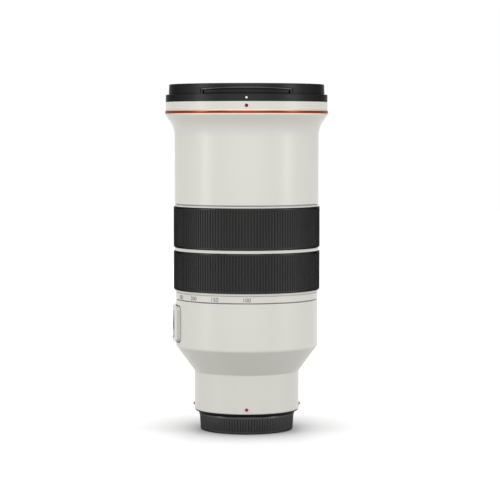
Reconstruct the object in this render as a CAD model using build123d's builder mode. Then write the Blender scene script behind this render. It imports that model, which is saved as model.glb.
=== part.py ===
from build123d import *
import os
from math import atan2, cos, degrees, pi, radians, sin, sqrt, tan

# Super telephoto zoom lens, standing front up on its rear cap. Millimetres.
# +Z is the optical axis towards the front, the origin is the middle of the rear
# cap's underside, -Y is the side with the dots and numbers, and -X carries the
# switch panel. Everything is drawn at the short end of the zoom, focused far away.

os.makedirs("parts", exist_ok=True)

# Heights of the outer pieces, stacked from the rear cap to the front cap
rear_cap_height = 12.7
mount_seal_height = 2.0
neck_length = 27.5
cone_length = 18.1
rear_barrel_length = 33.2
zoom_groove = 0.6
scale_band_height = 4.7
band_groove = 0.6
zoom_lip_height = 1.3
zoom_grip_length = 27.9
spacer_height = 2.1
focus_grip_length = 29.4
collar_height = 1.0
front_groove = 0.8
front_barrel_length = 63.3
accent_height = 3.0
bezel_height = 5.8
hood_mount_height = 5.2
front_cap_gap = 0.1
front_cap_height = 7.2

neck_bottom = rear_cap_height + mount_seal_height
cone_bottom = neck_bottom + neck_length
cone_top = cone_bottom + cone_length
rear_barrel_top = cone_top + rear_barrel_length
zoom_ring_bottom = rear_barrel_top + zoom_groove
band_top = zoom_ring_bottom + scale_band_height
zoom_lip_bottom = band_top + band_groove
zoom_grip_bottom = zoom_lip_bottom + zoom_lip_height
spacer_bottom = zoom_grip_bottom + zoom_grip_length
spacer_top = spacer_bottom + spacer_height
collar_bottom = spacer_top + focus_grip_length
collar_top = collar_bottom + collar_height
front_barrel_bottom = collar_top + front_groove
front_barrel_top = front_barrel_bottom + front_barrel_length
accent_top = front_barrel_top + accent_height
bezel_top = accent_top + bezel_height
hood_mount_top = bezel_top + hood_mount_height
front_cap_bottom = hood_mount_top + front_cap_gap
front_cap_top = front_cap_bottom + front_cap_height

# Outer radii: the barrels, rubbers and front rings step out and in from the front barrel
front_barrel_radius = 51.3
rear_barrel_step = 0.6
grip_rise = 0.9
flare_width = 6.5
accent_rise = 0.3
front_ring_step = 0.2
rear_barrel_radius = front_barrel_radius - rear_barrel_step
grip_radius = front_barrel_radius + grip_rise
flare_radius = front_barrel_radius + flare_width
accent_radius = flare_radius + accent_rise
front_ring_wall = 5.1
front_ring_radius = flare_radius - front_ring_step
front_bore_radius = front_ring_radius - front_ring_wall

# The neck and the rear cap follow the camera mount's flange
mount_flange_radius = 33.3
neck_margin = 4.1
neck_radius = mount_flange_radius + neck_margin

# Clearances
running_gap = 0.3
ring_end_gap = 0.2
pin_gap = 0.1
small_edge = 0.3
cut_margin = 1.0

# Walls
grip_thickness = 2.3
ring_wall = 3.5
sleeve_wall = 2.0
cam_wall = 2.0
guide_wall = 2.0
extension_wall = 2.0
casting_wall = 2.2
front_barrel_wall = 2.1

# Nested tubes of the zoom, from the rubber inwards
grip_inner_radius = grip_radius - grip_thickness
ring_inner_radius = grip_inner_radius - ring_wall
sleeve_radius = ring_inner_radius - running_gap
sleeve_inner_radius = sleeve_radius - sleeve_wall
cam_radius = sleeve_inner_radius - running_gap
cam_inner_radius = cam_radius - cam_wall
guide_radius = cam_inner_radius - running_gap
guide_inner_radius = guide_radius - guide_wall
extension_radius = guide_inner_radius - running_gap
extension_inner_radius = extension_radius - extension_wall
front_barrel_inner_radius = front_barrel_radius - front_barrel_wall
nose_radius = front_barrel_inner_radius - running_gap
nose_inner_radius = nose_radius - sleeve_wall

# Zoom travel: a quarter turn of the ring
zoom_turn = 90
front_travel = 46.0
variator_travel = 14.0
follower_radius = 2.0
follower_count = 3
front_follower_angle = 30
variator_follower_angle = 90
slot_margin = 2.0


def radial_plane(angle, radius, height):
    """A plane square to a radius: its x runs around the axis, its y runs up."""
    turn = radians(angle)
    outward = (cos(turn), sin(turn), 0)
    return Plane(
        origin=(radius * cos(turn), radius * sin(turn), height),
        x_dir=(-sin(turn), cos(turn), 0),
        z_dir=outward,
    )


def lengthways_plane(angle, height=0):
    """A plane through the axis: its x is the radius at that angle, its y runs up."""
    turn = radians(angle)
    return Plane(origin=(0, 0, height), x_dir=(cos(turn), sin(turn), 0), z_dir=(sin(turn), -cos(turn), 0))


def tube(bottom, height, outer, inner):
    """A plain round tube standing on a height."""
    with BuildPart() as plain:
        with BuildSketch(Plane.XY.offset(bottom)):
            Circle(outer)
            Circle(inner, mode=Mode.SUBTRACT)
        extrude(amount=height)
    return plain.part


def glass(radius, rear_edge, front_edge, rear_sag, front_sag):
    """A lens element; a positive sag bulges outwards, a negative one is hollow."""
    with BuildPart() as element:
        with BuildSketch(Plane.XZ):
            with BuildLine():
                TangentArc((0, rear_edge - rear_sag), (radius, rear_edge), tangent=(1, 0))
                Line((radius, rear_edge), (radius, front_edge))
                TangentArc((0, front_edge + front_sag), (radius, front_edge), tangent=(1, 0))
                Line((0, front_edge + front_sag), (0, rear_edge - rear_sag))
            make_face()
        revolve(axis=Axis.Z)
    return element.part


def ribbed_outline(radius, depth, count, share):
    """The corners of a round outline with V grooves between flat ribs."""
    pitch = 2 * pi / count
    root = radius - depth
    corners = []
    for rib in range(count):
        groove = rib * pitch
        near = groove + pitch * (1 - share) / 2
        far = groove + pitch * (1 + share) / 2
        corners.append((root * cos(groove), root * sin(groove)))
        corners.append((radius * cos(near), radius * sin(near)))
        corners.append((radius * cos(far), radius * sin(far)))
    return corners


def rubber_grip(bottom, length):
    """A moulded rubber sleeve: fine ribs between two plain rounded lips."""
    with BuildPart() as grip:
        with BuildSketch(Plane.XY.offset(bottom)):
            Circle(grip_radius)
            Circle(grip_inner_radius, mode=Mode.SUBTRACT)
        extrude(amount=grip_lip)
        fillet(grip.faces().sort_by(Axis.Z)[0].edges().sort_by(SortBy.RADIUS)[-1], grip_rounding)
        with BuildSketch(Plane.XY.offset(bottom + grip_lip)):
            with BuildLine():
                corners = ribbed_outline(grip_radius, grip_rib_depth, grip_rib_count, rib_share)
                Polyline(*corners, close=True)
            make_face()
            Circle(grip_inner_radius, mode=Mode.SUBTRACT)
        extrude(amount=length - 2 * grip_lip)
        with BuildSketch(Plane.XY.offset(bottom + length - grip_lip)):
            Circle(grip_radius)
            Circle(grip_inner_radius, mode=Mode.SUBTRACT)
        extrude(amount=grip_lip)
        fillet(grip.faces().sort_by(Axis.Z)[-1].edges().sort_by(SortBy.RADIUS)[-1], grip_rounding)
    return grip.part


# Ribs of the rubber and of the rear cap
grip_rib_count = 156
grip_rib_depth = 0.9
grip_lip = 1.0
grip_rounding = 0.8
rib_share = 0.55
rear_cap_rib_count = 105
rear_cap_rib_depth = 0.5

# Camera mount: a metal plate with a bayonet of three lugs and a notch for the camera's locking pin
bayonet_step = 8.1
bayonet_wall = 1.9
bayonet_depth = 5.7
lug_width = 1.6
lug_thickness = 1.7
lug_turn = 58
lug_count = 3
lug_start = 60
mount_flange_thickness = 3.0
mount_screw_inset = 3.8
mount_screw_count = 4
mount_screw_radius = 1.0
mount_screw_head_radius = 1.9
mount_screw_head_height = 1.0
mount_screw_length = 6.0
lock_notch_radius = 1.6
lock_notch_depth = 1.8
lock_notch_angle = 225
mount_face = rear_cap_height
mount_screw_circle = mount_flange_radius - mount_screw_inset
bayonet_radius = mount_flange_radius - bayonet_step
bayonet_inner_radius = bayonet_radius - bayonet_wall
lug_radius = bayonet_radius + lug_width
bayonet_bottom = mount_face - bayonet_depth
mount_flange_top = mount_face + mount_flange_thickness
lug_top = bayonet_bottom + lug_thickness

with BuildPart() as mount_plate:
    with BuildSketch(Plane.XY.offset(mount_face)):
        Circle(mount_flange_radius)
    extrude(amount=mount_flange_thickness)
    with BuildSketch(Plane.XY.offset(bayonet_bottom)):
        Circle(bayonet_radius)
    extrude(amount=bayonet_depth)
    for lug in range(lug_count):
        with BuildSketch(lengthways_plane(lug_start + lug * 360 / lug_count)):
            with BuildLine():
                Polyline(
                    (bayonet_inner_radius, bayonet_bottom),
                    (lug_radius, bayonet_bottom),
                    (lug_radius, lug_top),
                    (bayonet_inner_radius, lug_top),
                    close=True,
                )
            make_face()
        revolve(axis=Axis.Z, revolution_arc=lug_turn)
    with BuildSketch(Plane.XY.offset(bayonet_bottom)):
        Circle(bayonet_inner_radius)
    extrude(amount=bayonet_depth + mount_flange_thickness, mode=Mode.SUBTRACT)
    with Locations(Plane(origin=(0, 0, mount_face), z_dir=(0, 0, -1))):
        with PolarLocations(mount_screw_circle, mount_screw_count):
            CounterBoreHole(mount_screw_radius, mount_screw_head_radius, mount_screw_head_height)
    with BuildSketch(Plane.XY.offset(mount_face)):
        with PolarLocations(mount_screw_circle, 1, start_angle=lock_notch_angle):
            Circle(lock_notch_radius)
    extrude(amount=lock_notch_depth, mode=Mode.SUBTRACT)
mount_plate.part.label = "mount_plate"
export_step(mount_plate.part, "parts/mount_plate.step")

with BuildPart() as mount_screws:
    with BuildSketch(Plane.XY.offset(mount_face)):
        with PolarLocations(mount_screw_circle, mount_screw_count):
            Circle(mount_screw_head_radius)
    extrude(amount=mount_screw_head_height)
    with BuildSketch(Plane.XY.offset(mount_face)):
        with PolarLocations(mount_screw_circle, mount_screw_count):
            Circle(mount_screw_radius)
    extrude(amount=mount_screw_length)
mount_screws.part.label = "mount_screws"
export_step(mount_screws.part, "parts/mount_screws.step")

# Mount seal: the black rubber skirt between the white neck and the camera
seal_bottom_width = 1.2
seal_top_inset = 0.7
seal_bottom_radius = mount_flange_radius + seal_bottom_width
seal_top_radius = neck_radius - seal_top_inset

with BuildPart() as mount_seal:
    with BuildSketch(Plane.XZ):
        with BuildLine():
            Polyline(
                (mount_flange_radius, mount_face),
                (seal_bottom_radius, mount_face),
                (seal_top_radius, neck_bottom),
                (mount_flange_radius, neck_bottom),
                close=True,
            )
        make_face()
    revolve(axis=Axis.Z)
mount_seal.part.label = "mount_seal"
export_step(mount_seal.part, "parts/mount_seal.step")

# Rear cap: a ribbed cup over the bayonet, with three inner lugs that pass between the lens's lugs
rear_cap_rim_inset = 0.6
rear_cap_skirt_step = 0.5
rear_cap_taper = 0.8
rear_cap_wall = 2.6
rear_cap_rim_height = 2.0
rear_cap_rim_rounding = 0.8
rear_cap_floor = 2.2
rear_cap_rim_radius = seal_bottom_radius - rear_cap_rim_inset
rear_cap_skirt_radius = rear_cap_rim_radius - rear_cap_skirt_step
rear_cap_foot_radius = rear_cap_skirt_radius - rear_cap_taper
rear_cap_inner_radius = rear_cap_foot_radius - rear_cap_wall
cap_lug_thickness = 1.6
cap_lug_turn = 50
cap_lug_seat = lug_top + running_gap
rear_cap_rim_bottom = rear_cap_height - rear_cap_rim_height
lug_gap_middle = lug_start + lug_turn / 2 + 180 / lug_count

with BuildPart() as rear_cap:
    for height, radius in ((0, rear_cap_foot_radius), (rear_cap_rim_bottom, rear_cap_skirt_radius)):
        with BuildSketch(Plane.XY.offset(height)):
            with BuildLine():
                corners = ribbed_outline(radius, rear_cap_rib_depth, rear_cap_rib_count, rib_share)
                Polyline(*corners, close=True)
            make_face()
    loft(ruled=True)
    with BuildSketch(Plane.XY.offset(rear_cap_rim_bottom)):
        Circle(rear_cap_rim_radius)
    extrude(amount=rear_cap_rim_height)
    fillet(rear_cap.faces().sort_by(Axis.Z)[-1].edges(), rear_cap_rim_rounding)
    with BuildSketch(Plane.XY.offset(rear_cap_floor)):
        Circle(rear_cap_inner_radius)
    extrude(amount=rear_cap_height, mode=Mode.SUBTRACT)
    for lug in range(lug_count):
        lug_middle = lug_gap_middle + lug * 360 / lug_count
        with BuildSketch(lengthways_plane(lug_middle - cap_lug_turn / 2)):
            with BuildLine():
                Polyline(
                    (bayonet_radius + running_gap, cap_lug_seat),
                    (rear_cap_inner_radius + running_gap, cap_lug_seat),
                    (rear_cap_inner_radius + running_gap, cap_lug_seat + cap_lug_thickness),
                    (bayonet_radius + running_gap, cap_lug_seat + cap_lug_thickness),
                    close=True,
                )
            make_face()
        revolve(axis=Axis.Z, revolution_arc=cap_lug_turn)
rear_cap.part.label = "rear_cap"
export_step(rear_cap.part, "parts/rear_cap.step")

# Rear barrel: the white casting of neck, cone and barrel, with two ledges inside
neck_edge = 0.5
cone_foot_rounding = 1.2
cone_top_rounding = 3.0
mount_ledge_height = 3.0
mount_ledge_width = 5.3
tube_ledge_height = 2.0
tube_ledge_offset = 1.0
cone_tilt = atan2(rear_barrel_radius - neck_radius, cone_length)
inner_shift = casting_wall * tan(cone_tilt / 2)
mount_ledge_inner_radius = mount_flange_radius - mount_ledge_width
neck_inner_radius = neck_radius - casting_wall
rear_barrel_inner_radius = rear_barrel_radius - casting_wall
mount_ledge_top = mount_flange_top + mount_ledge_height
tube_ledge_bottom = cone_top + tube_ledge_offset
tube_ledge_top = tube_ledge_bottom + tube_ledge_height
index_dot_radius = 1.15
index_dot_depth = 0.6
index_dot_height = 1.0
index_dot_lift = 3.4
index_dot_level = neck_bottom + index_dot_lift
index_dot_angles = (-90, 0, 180)

with BuildPart() as rear_barrel:
    with BuildSketch(Plane.XZ):
        with BuildLine():
            FilletPolyline(
                (neck_radius, neck_bottom + neck_edge),
                (neck_radius, cone_bottom),
                (rear_barrel_radius, cone_top),
                (rear_barrel_radius, rear_barrel_top - small_edge),
                radius=(cone_foot_rounding, cone_top_rounding),
            )
            Polyline(
                (rear_barrel_radius, rear_barrel_top - small_edge),
                (rear_barrel_radius - small_edge, rear_barrel_top),
                (rear_barrel_inner_radius, rear_barrel_top),
                (rear_barrel_inner_radius, tube_ledge_top),
                (guide_radius, tube_ledge_top),
                (guide_radius, tube_ledge_bottom),
                (rear_barrel_inner_radius, tube_ledge_bottom),
                (rear_barrel_inner_radius, cone_top + inner_shift),
                (neck_inner_radius, cone_bottom + inner_shift),
                (neck_inner_radius, mount_ledge_top),
                (mount_ledge_inner_radius, mount_ledge_top),
                (mount_ledge_inner_radius, mount_flange_top),
                (mount_flange_radius, mount_flange_top),
                (mount_flange_radius, neck_bottom),
                (neck_radius - neck_edge, neck_bottom),
                (neck_radius, neck_bottom + neck_edge),
            )
        make_face()
    revolve(axis=Axis.Z)
    with BuildSketch(Plane.XY.offset(mount_flange_top)):
        with PolarLocations(mount_screw_circle, mount_screw_count):
            Circle(mount_screw_radius)
    extrude(amount=mount_ledge_height, mode=Mode.SUBTRACT)
    for angle in index_dot_angles:
        with BuildSketch(radial_plane(angle, neck_radius - index_dot_depth, index_dot_level)):
            Circle(index_dot_radius)
        extrude(amount=casting_wall, mode=Mode.SUBTRACT)
rear_barrel.part.label = "rear_barrel"
export_step(rear_barrel.part, "parts/rear_barrel.step")

# Index dots: three domed red buttons set into the neck, for lining up the lens
index_dot_shoulder = 0.3
with BuildPart() as index_dot:
    with BuildSketch(Plane.XZ):
        with BuildLine():
            Polyline((0, 0), (index_dot_radius, 0), (index_dot_radius, index_dot_depth + index_dot_shoulder))
            TangentArc(
                (0, index_dot_depth + index_dot_height),
                (index_dot_radius, index_dot_depth + index_dot_shoulder),
                tangent=(1, 0),
            )
            Line((0, index_dot_depth + index_dot_height), (0, 0))
        make_face()
    revolve(axis=Axis.Z)

with BuildPart() as index_dots:
    for angle in index_dot_angles:
        with Locations(radial_plane(angle, neck_radius - index_dot_depth, index_dot_level)):
            add(index_dot.part)
index_dots.part.label = "index_dots"
export_step(index_dots.part, "parts/index_dots.step")

# Switch panel: a raised pad on the side of the rear barrel, with a sunk field for three switches
panel_rise = 2.6
panel_width = 39.0
panel_length = 25.2
panel_corner = 3.0
panel_lift = 3.7
panel_bottom = cone_top + panel_lift
panel_middle = panel_bottom + panel_length / 2
field_width = 29.2
field_length = 19.8
field_corner = 1.5
field_depth = 0.5
knob_count = 3
knob_pitch = 8.4
knob_width = 3.4
knob_length = 5.0
knob_travel = 4.0
knob_gap = 0.2
knob_height = 0.15
knob_corner = knob_width / 4
panel_radius = rear_barrel_radius + panel_rise
field_radius = panel_radius - field_depth
knob_radius = field_radius + knob_height
knob_slot_length = knob_length + knob_travel + 2 * knob_gap
knob_bottom = panel_middle - knob_travel / 2 - knob_length / 2
panel_face = Plane.YZ.offset(-panel_radius - cut_margin)
knob_places = [(knob_pitch * (knob - (knob_count - 1) / 2), panel_middle) for knob in range(knob_count)]

with BuildPart() as field_cut:
    with BuildSketch(Plane.XY.offset(panel_bottom)):
        Circle(panel_radius + cut_margin)
        Circle(field_radius, mode=Mode.SUBTRACT)
    extrude(amount=panel_length)
    with BuildSketch(panel_face):
        with Locations((0, panel_middle)):
            RectangleRounded(field_width, field_length, field_corner)
    extrude(amount=panel_radius, mode=Mode.INTERSECT)

with BuildPart() as switch_panel:
    with BuildSketch(Plane.XY.offset(panel_bottom)):
        Circle(panel_radius)
        Circle(rear_barrel_radius, mode=Mode.SUBTRACT)
    extrude(amount=panel_length)
    with BuildSketch(panel_face):
        with Locations((0, panel_middle)):
            RectangleRounded(panel_width, panel_length, panel_corner)
    extrude(amount=panel_radius, mode=Mode.INTERSECT)
    add(field_cut.part, mode=Mode.SUBTRACT)
    with BuildSketch(panel_face):
        with Locations(*knob_places):
            RectangleRounded(knob_width + 2 * knob_gap, knob_slot_length, knob_corner)
    extrude(amount=panel_radius, mode=Mode.SUBTRACT)
switch_panel.part.label = "switch_panel"
export_step(switch_panel.part, "parts/switch_panel.step")

# Switch knobs: each slides towards the front in its own slot
for knob in range(knob_count):
    with BuildPart() as switch_knob:
        with BuildSketch(Plane.XY.offset(knob_bottom)):
            Circle(knob_radius)
            Circle(rear_barrel_radius + knob_gap, mode=Mode.SUBTRACT)
        extrude(amount=knob_length)
        with BuildSketch(panel_face):
            with Locations((knob_places[knob][0], knob_bottom + knob_length / 2)):
                RectangleRounded(knob_width, knob_length, knob_corner)
        extrude(amount=panel_radius, mode=Mode.INTERSECT)
    switch_knob.part.label = f"switch_knob_{knob + 1}"
    export_step(switch_knob.part, f"parts/switch_knob_{knob + 1}.step")

# Body sleeve: the fixed tube that the rings turn on, its collar, and the nose that the front barrel rides on
sleeve_foot_height = 2.0
guide_flange_height = 2.0
nose_end_gap = 3.0
front_ledge_height = 3.0
front_ledge_offset = 5.2
front_ledge_top = front_barrel_top - front_ledge_offset
front_ledge_bottom = front_ledge_top - front_ledge_height
nose_top = front_ledge_bottom - nose_end_gap
guide_flange_top = tube_ledge_top + guide_flange_height
sleeve_foot_top = guide_flange_top + sleeve_foot_height

# Inner stack, from the guide barrel's foot up: stabiliser, iris, variator at its lowest, extension tube
guide_foot_drop = 2.5
stabiliser_base_thickness = 1.6
stabiliser_frame_gap = 0.8
stabiliser_frame_length = 5.0
stabiliser_head_room = 0.6
iris_floor = 1.2
blade_count = 7
blade_thickness = 0.2
blade_pitch = 0.35
blade_gap = 0.15
iris_ring_thickness = 1.4
iris_gap = 0.5
variator_length = 11.0
axial_gap = 0.5
guide_bottom = tube_ledge_bottom - guide_foot_drop
stabiliser_base_bottom = guide_bottom
stabiliser_base_top = stabiliser_base_bottom + stabiliser_base_thickness
stabiliser_frame_bottom = stabiliser_base_top + stabiliser_frame_gap
stabiliser_frame_top = stabiliser_frame_bottom + stabiliser_frame_length
iris_bottom = stabiliser_frame_top + stabiliser_head_room
iris_floor_top = iris_bottom + iris_floor
iris_blades_bottom = iris_floor_top + blade_gap
iris_blades_top = iris_blades_bottom + (blade_count - 1) * blade_pitch + blade_thickness
iris_ring_bottom = iris_blades_top + blade_gap
iris_ring_top = iris_ring_bottom + iris_ring_thickness
variator_lowest = iris_ring_top + iris_gap
variator_bottom = variator_lowest + variator_travel
variator_middle = variator_bottom + variator_length / 2
extension_bottom = variator_bottom + variator_length + axial_gap

# Front followers and the length of the two slotted tubes
front_follower_inset = 6.0
front_follower_level = extension_bottom + front_follower_inset
slot_half_width = follower_radius + pin_gap
front_slot_top = front_follower_level + front_travel + slot_half_width
guide_top = front_slot_top + slot_margin + follower_radius
cam_bottom = guide_flange_top + running_gap
cam_top = guide_top

# Zoom key: the pin that makes the cam barrel turn with the zoom ring
zoom_key_radius = 2.5
zoom_key_angle = 60
zoom_key_lift = 18.0
zoom_key_level = zoom_grip_bottom + zoom_key_lift
key_window_turn = degrees((zoom_key_radius + running_gap) / sleeve_inner_radius)

with BuildPart() as body_sleeve:
    with BuildSketch(Plane.XZ):
        with BuildLine():
            Polyline(
                (sleeve_inner_radius, guide_flange_top),
                (rear_barrel_inner_radius, guide_flange_top),
                (rear_barrel_inner_radius, sleeve_foot_top),
                (sleeve_radius, sleeve_foot_top),
                (sleeve_radius, collar_bottom),
                (front_barrel_radius, collar_bottom),
                (front_barrel_radius, collar_top),
                (nose_radius, collar_top),
                (nose_radius, nose_top),
                (nose_inner_radius, nose_top),
                (nose_inner_radius, collar_top),
                (sleeve_inner_radius, collar_top),
                close=True,
            )
        make_face()
    revolve(axis=Axis.Z)
    with BuildSketch(lengthways_plane(zoom_key_angle - key_window_turn)):
        with Locations(((sleeve_radius + sleeve_inner_radius) / 2, zoom_key_level)):
            Rectangle(2 * sleeve_wall, 2 * (zoom_key_radius + running_gap))
    revolve(axis=Axis.Z, revolution_arc=zoom_turn + 2 * key_window_turn, mode=Mode.SUBTRACT)
body_sleeve.part.label = "body_sleeve"
export_step(body_sleeve.part, "parts/body_sleeve.step")

spacer_ring = tube(spacer_bottom, spacer_height, front_barrel_radius, sleeve_radius)
spacer_ring.label = "spacer_ring"
export_step(spacer_ring, "parts/spacer_ring.step")

# Zoom ring: the number band and a lip below the rubber, and the core under it
with BuildPart() as zoom_ring:
    with BuildSketch(Plane.XZ):
        with BuildLine():
            Polyline(
                (ring_inner_radius, zoom_ring_bottom),
                (rear_barrel_radius - small_edge, zoom_ring_bottom),
                (rear_barrel_radius, zoom_ring_bottom + small_edge),
                (rear_barrel_radius, band_top),
                (grip_inner_radius, band_top),
                (grip_inner_radius, zoom_lip_bottom),
                (front_barrel_radius, zoom_lip_bottom),
                (front_barrel_radius, zoom_grip_bottom),
                (grip_inner_radius, zoom_grip_bottom),
                (grip_inner_radius, spacer_bottom - ring_end_gap),
                (ring_inner_radius, spacer_bottom - ring_end_gap),
                close=True,
            )
        make_face()
    revolve(axis=Axis.Z)
    with BuildSketch(radial_plane(zoom_key_angle, 0, zoom_key_level)):
        Circle(zoom_key_radius)
    extrude(amount=grip_radius, mode=Mode.SUBTRACT)
zoom_ring.part.label = "zoom_ring"
export_step(zoom_ring.part, "parts/zoom_ring.step")

zoom_grip = rubber_grip(zoom_grip_bottom, zoom_grip_length - ring_end_gap)
zoom_grip.label = "zoom_grip"
export_step(zoom_grip, "parts/zoom_grip.step")

with BuildPart() as zoom_key:
    with BuildSketch(Plane.XY.offset(zoom_key_level - zoom_key_radius)):
        Circle(grip_inner_radius)
        Circle(cam_inner_radius, mode=Mode.SUBTRACT)
    extrude(amount=2 * zoom_key_radius)
    with BuildSketch(radial_plane(zoom_key_angle, 0, zoom_key_level)):
        Circle(zoom_key_radius)
    extrude(amount=grip_radius, mode=Mode.INTERSECT)
zoom_key.part.label = "zoom_key"
export_step(zoom_key.part, "parts/zoom_key.step")

# Focus ring and its rubber
focus_ring = tube(
    spacer_top + ring_end_gap,
    focus_grip_length - 2 * ring_end_gap,
    grip_inner_radius,
    ring_inner_radius,
)
focus_ring.label = "focus_ring"
export_step(focus_ring, "parts/focus_ring.step")

focus_grip = rubber_grip(spacer_top + ring_end_gap, focus_grip_length - 2 * ring_end_gap)
focus_grip.label = "focus_grip"
export_step(focus_grip, "parts/focus_grip.step")

# Variator: the moving lens group behind the front group
variator_shell_wall = 2.0
variator_seat_wall = 1.8
variator_web = 2.5
variator_web_width = 5.2
variator_glass_radius = extension_radius - variator_shell_wall - variator_web_width

# Guide barrel: straight slots that let the followers slide but not turn
front_angles = [front_follower_angle + 360 / follower_count * place for place in range(follower_count)]
variator_angles = [variator_follower_angle + 360 / follower_count * place for place in range(follower_count)]

with BuildPart() as guide_barrel:
    with BuildSketch(Plane.XY.offset(guide_bottom)):
        Circle(guide_radius)
    extrude(amount=guide_top - guide_bottom)
    with BuildSketch(Plane.XY.offset(tube_ledge_top)):
        Circle(rear_barrel_inner_radius)
    extrude(amount=guide_flange_height)
    with BuildSketch(Plane.XY.offset(guide_bottom)):
        Circle(guide_inner_radius)
    extrude(amount=guide_top - guide_bottom, mode=Mode.SUBTRACT)
    for angle in front_angles:
        with BuildSketch(radial_plane(angle, 0, front_follower_level + front_travel / 2)):
            SlotCenterToCenter(front_travel, 2 * slot_half_width, rotation=90)
        extrude(amount=cam_radius, mode=Mode.SUBTRACT)
    for angle in variator_angles:
        with BuildSketch(radial_plane(angle, 0, variator_middle - variator_travel / 2)):
            SlotCenterToCenter(variator_travel, 2 * slot_half_width, rotation=90)
        extrude(amount=cam_radius, mode=Mode.SUBTRACT)
guide_barrel.part.label = "guide_barrel"
export_step(guide_barrel.part, "parts/guide_barrel.step")

# Cam barrel: helical slots that turn the ring's quarter turn into the two groups' travels
cam_middle_radius = (cam_radius + cam_inner_radius) / 2


def helical_slot(travel, lefthand):
    """A helical slot cutter that starts on the x axis, and the turn that it runs past each end."""
    rise_per_turn = travel / zoom_turn * 360
    run_past = degrees(slot_half_width / sqrt(cam_middle_radius**2 + (travel / radians(zoom_turn)) ** 2))
    length = travel * (1 + 2 * run_past / zoom_turn)
    with BuildPart() as cutter:
        with BuildLine(Plane.XY.offset(-travel * run_past / zoom_turn)) as path:
            Helix(rise_per_turn, length, cam_middle_radius, lefthand=lefthand)
        with BuildSketch(Plane(origin=path.line @ 0, x_dir=(1, 0, 0), z_dir=path.line % 0)):
            Rectangle(3 * cam_wall, 2 * slot_half_width)
        sweep(path=path.line, is_frenet=True)
    return cutter.part, run_past


front_slot, front_run_past = helical_slot(front_travel, lefthand=True)
variator_slot, variator_run_past = helical_slot(variator_travel, lefthand=False)

with BuildPart() as cam_barrel:
    with BuildSketch(Plane.XY.offset(cam_bottom)):
        Circle(cam_radius)
        Circle(cam_inner_radius, mode=Mode.SUBTRACT)
    extrude(amount=cam_top - cam_bottom)
    with Locations((0, 0, front_follower_level)):
        with PolarLocations(0, follower_count, start_angle=front_follower_angle + front_run_past):
            add(front_slot, mode=Mode.SUBTRACT)
    variator_slot_start = variator_follower_angle - zoom_turn - variator_run_past
    with Locations((0, 0, variator_middle - variator_travel)):
        with PolarLocations(0, follower_count, start_angle=variator_slot_start):
            add(variator_slot, mode=Mode.SUBTRACT)
    with BuildSketch(radial_plane(zoom_key_angle, 0, zoom_key_level)):
        Circle(zoom_key_radius)
    extrude(amount=grip_radius, mode=Mode.SUBTRACT)
cam_barrel.part.label = "cam_barrel"
export_step(cam_barrel.part, "parts/cam_barrel.step")

# Variator cell, with its three followers, and its cemented glass
with BuildPart() as variator_cell:
    with BuildSketch(Plane.XY.offset(variator_bottom)):
        Circle(extension_radius)
        Circle(extension_radius - variator_shell_wall, mode=Mode.SUBTRACT)
    extrude(amount=variator_length)
    with BuildSketch(Plane.XY.offset(variator_middle - variator_web / 2)):
        Circle(extension_radius - variator_shell_wall / 2)
        Circle(variator_glass_radius, mode=Mode.SUBTRACT)
    extrude(amount=variator_web)
    with BuildSketch(Plane.XY.offset(variator_bottom + axial_gap)):
        Circle(variator_glass_radius + variator_seat_wall)
        Circle(variator_glass_radius, mode=Mode.SUBTRACT)
    extrude(amount=variator_length - 2 * axial_gap)
    for angle in variator_angles:
        with BuildSketch(radial_plane(angle, extension_radius - variator_shell_wall / 2, variator_middle)):
            Circle(follower_radius)
        extrude(amount=cam_radius - extension_radius + variator_shell_wall / 2 - pin_gap)
variator_cell.part.label = "variator_cell"
export_step(variator_cell.part, "parts/variator_cell.step")

variator_edge = 3.6
variator_hollow = 1.0
variator_joint_sag = 1.2
variator_element = Compound(
    children=[
        glass(
            variator_glass_radius,
            variator_middle - variator_edge,
            variator_middle,
            -variator_hollow,
            -variator_joint_sag,
        ),
        glass(
            variator_glass_radius,
            variator_middle,
            variator_middle + variator_edge,
            variator_joint_sag,
            -variator_hollow,
        ),
    ]
)
variator_element.label = "variator_element"
export_step(variator_element, "parts/variator_element.step")

# Front lens cell: seated on the front barrel's ledge, it carries the front glass and the extension tube
cell_gap = 0.4
cell_wall = 2.1
cell_depth = 14.0
cell_shoulder = 2.0
cell_shoulder_width = 2.9
cell_cup_height = 10.0
cup_wall = 3.7
cup_gap = 0.2
cell_radius = nose_inner_radius - cell_gap
cell_inner_radius = cell_radius - cell_wall
cell_bottom = front_ledge_top - cell_depth
cup_radius = front_bore_radius - cup_gap
cup_top = front_ledge_top + cell_cup_height

# Front glass
front_glass_radius = cup_radius - cup_wall
front_glass_seat = 1.5
front_glass_edge = 4.5
front_glass_sag = 7.0
front_glass_rear_sag = -2.0
front_glass_bottom = front_ledge_top + front_glass_seat
front_glass_edge_top = front_glass_bottom + front_glass_edge
doublet_edge = 4.5
doublet_joint_sag = 3.0
doublet_rear_sag = -1.0
doublet_front_sag = 2.0
doublet_bottom = cell_bottom + cell_shoulder

# Front barrel: straight, then flared out to the accent ring
flare_tilt = 37.2
flare_rounding = 18.0
flare_rim = 0.4
flare_corner = front_barrel_top - flare_rim - flare_width / tan(radians(flare_tilt))

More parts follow.
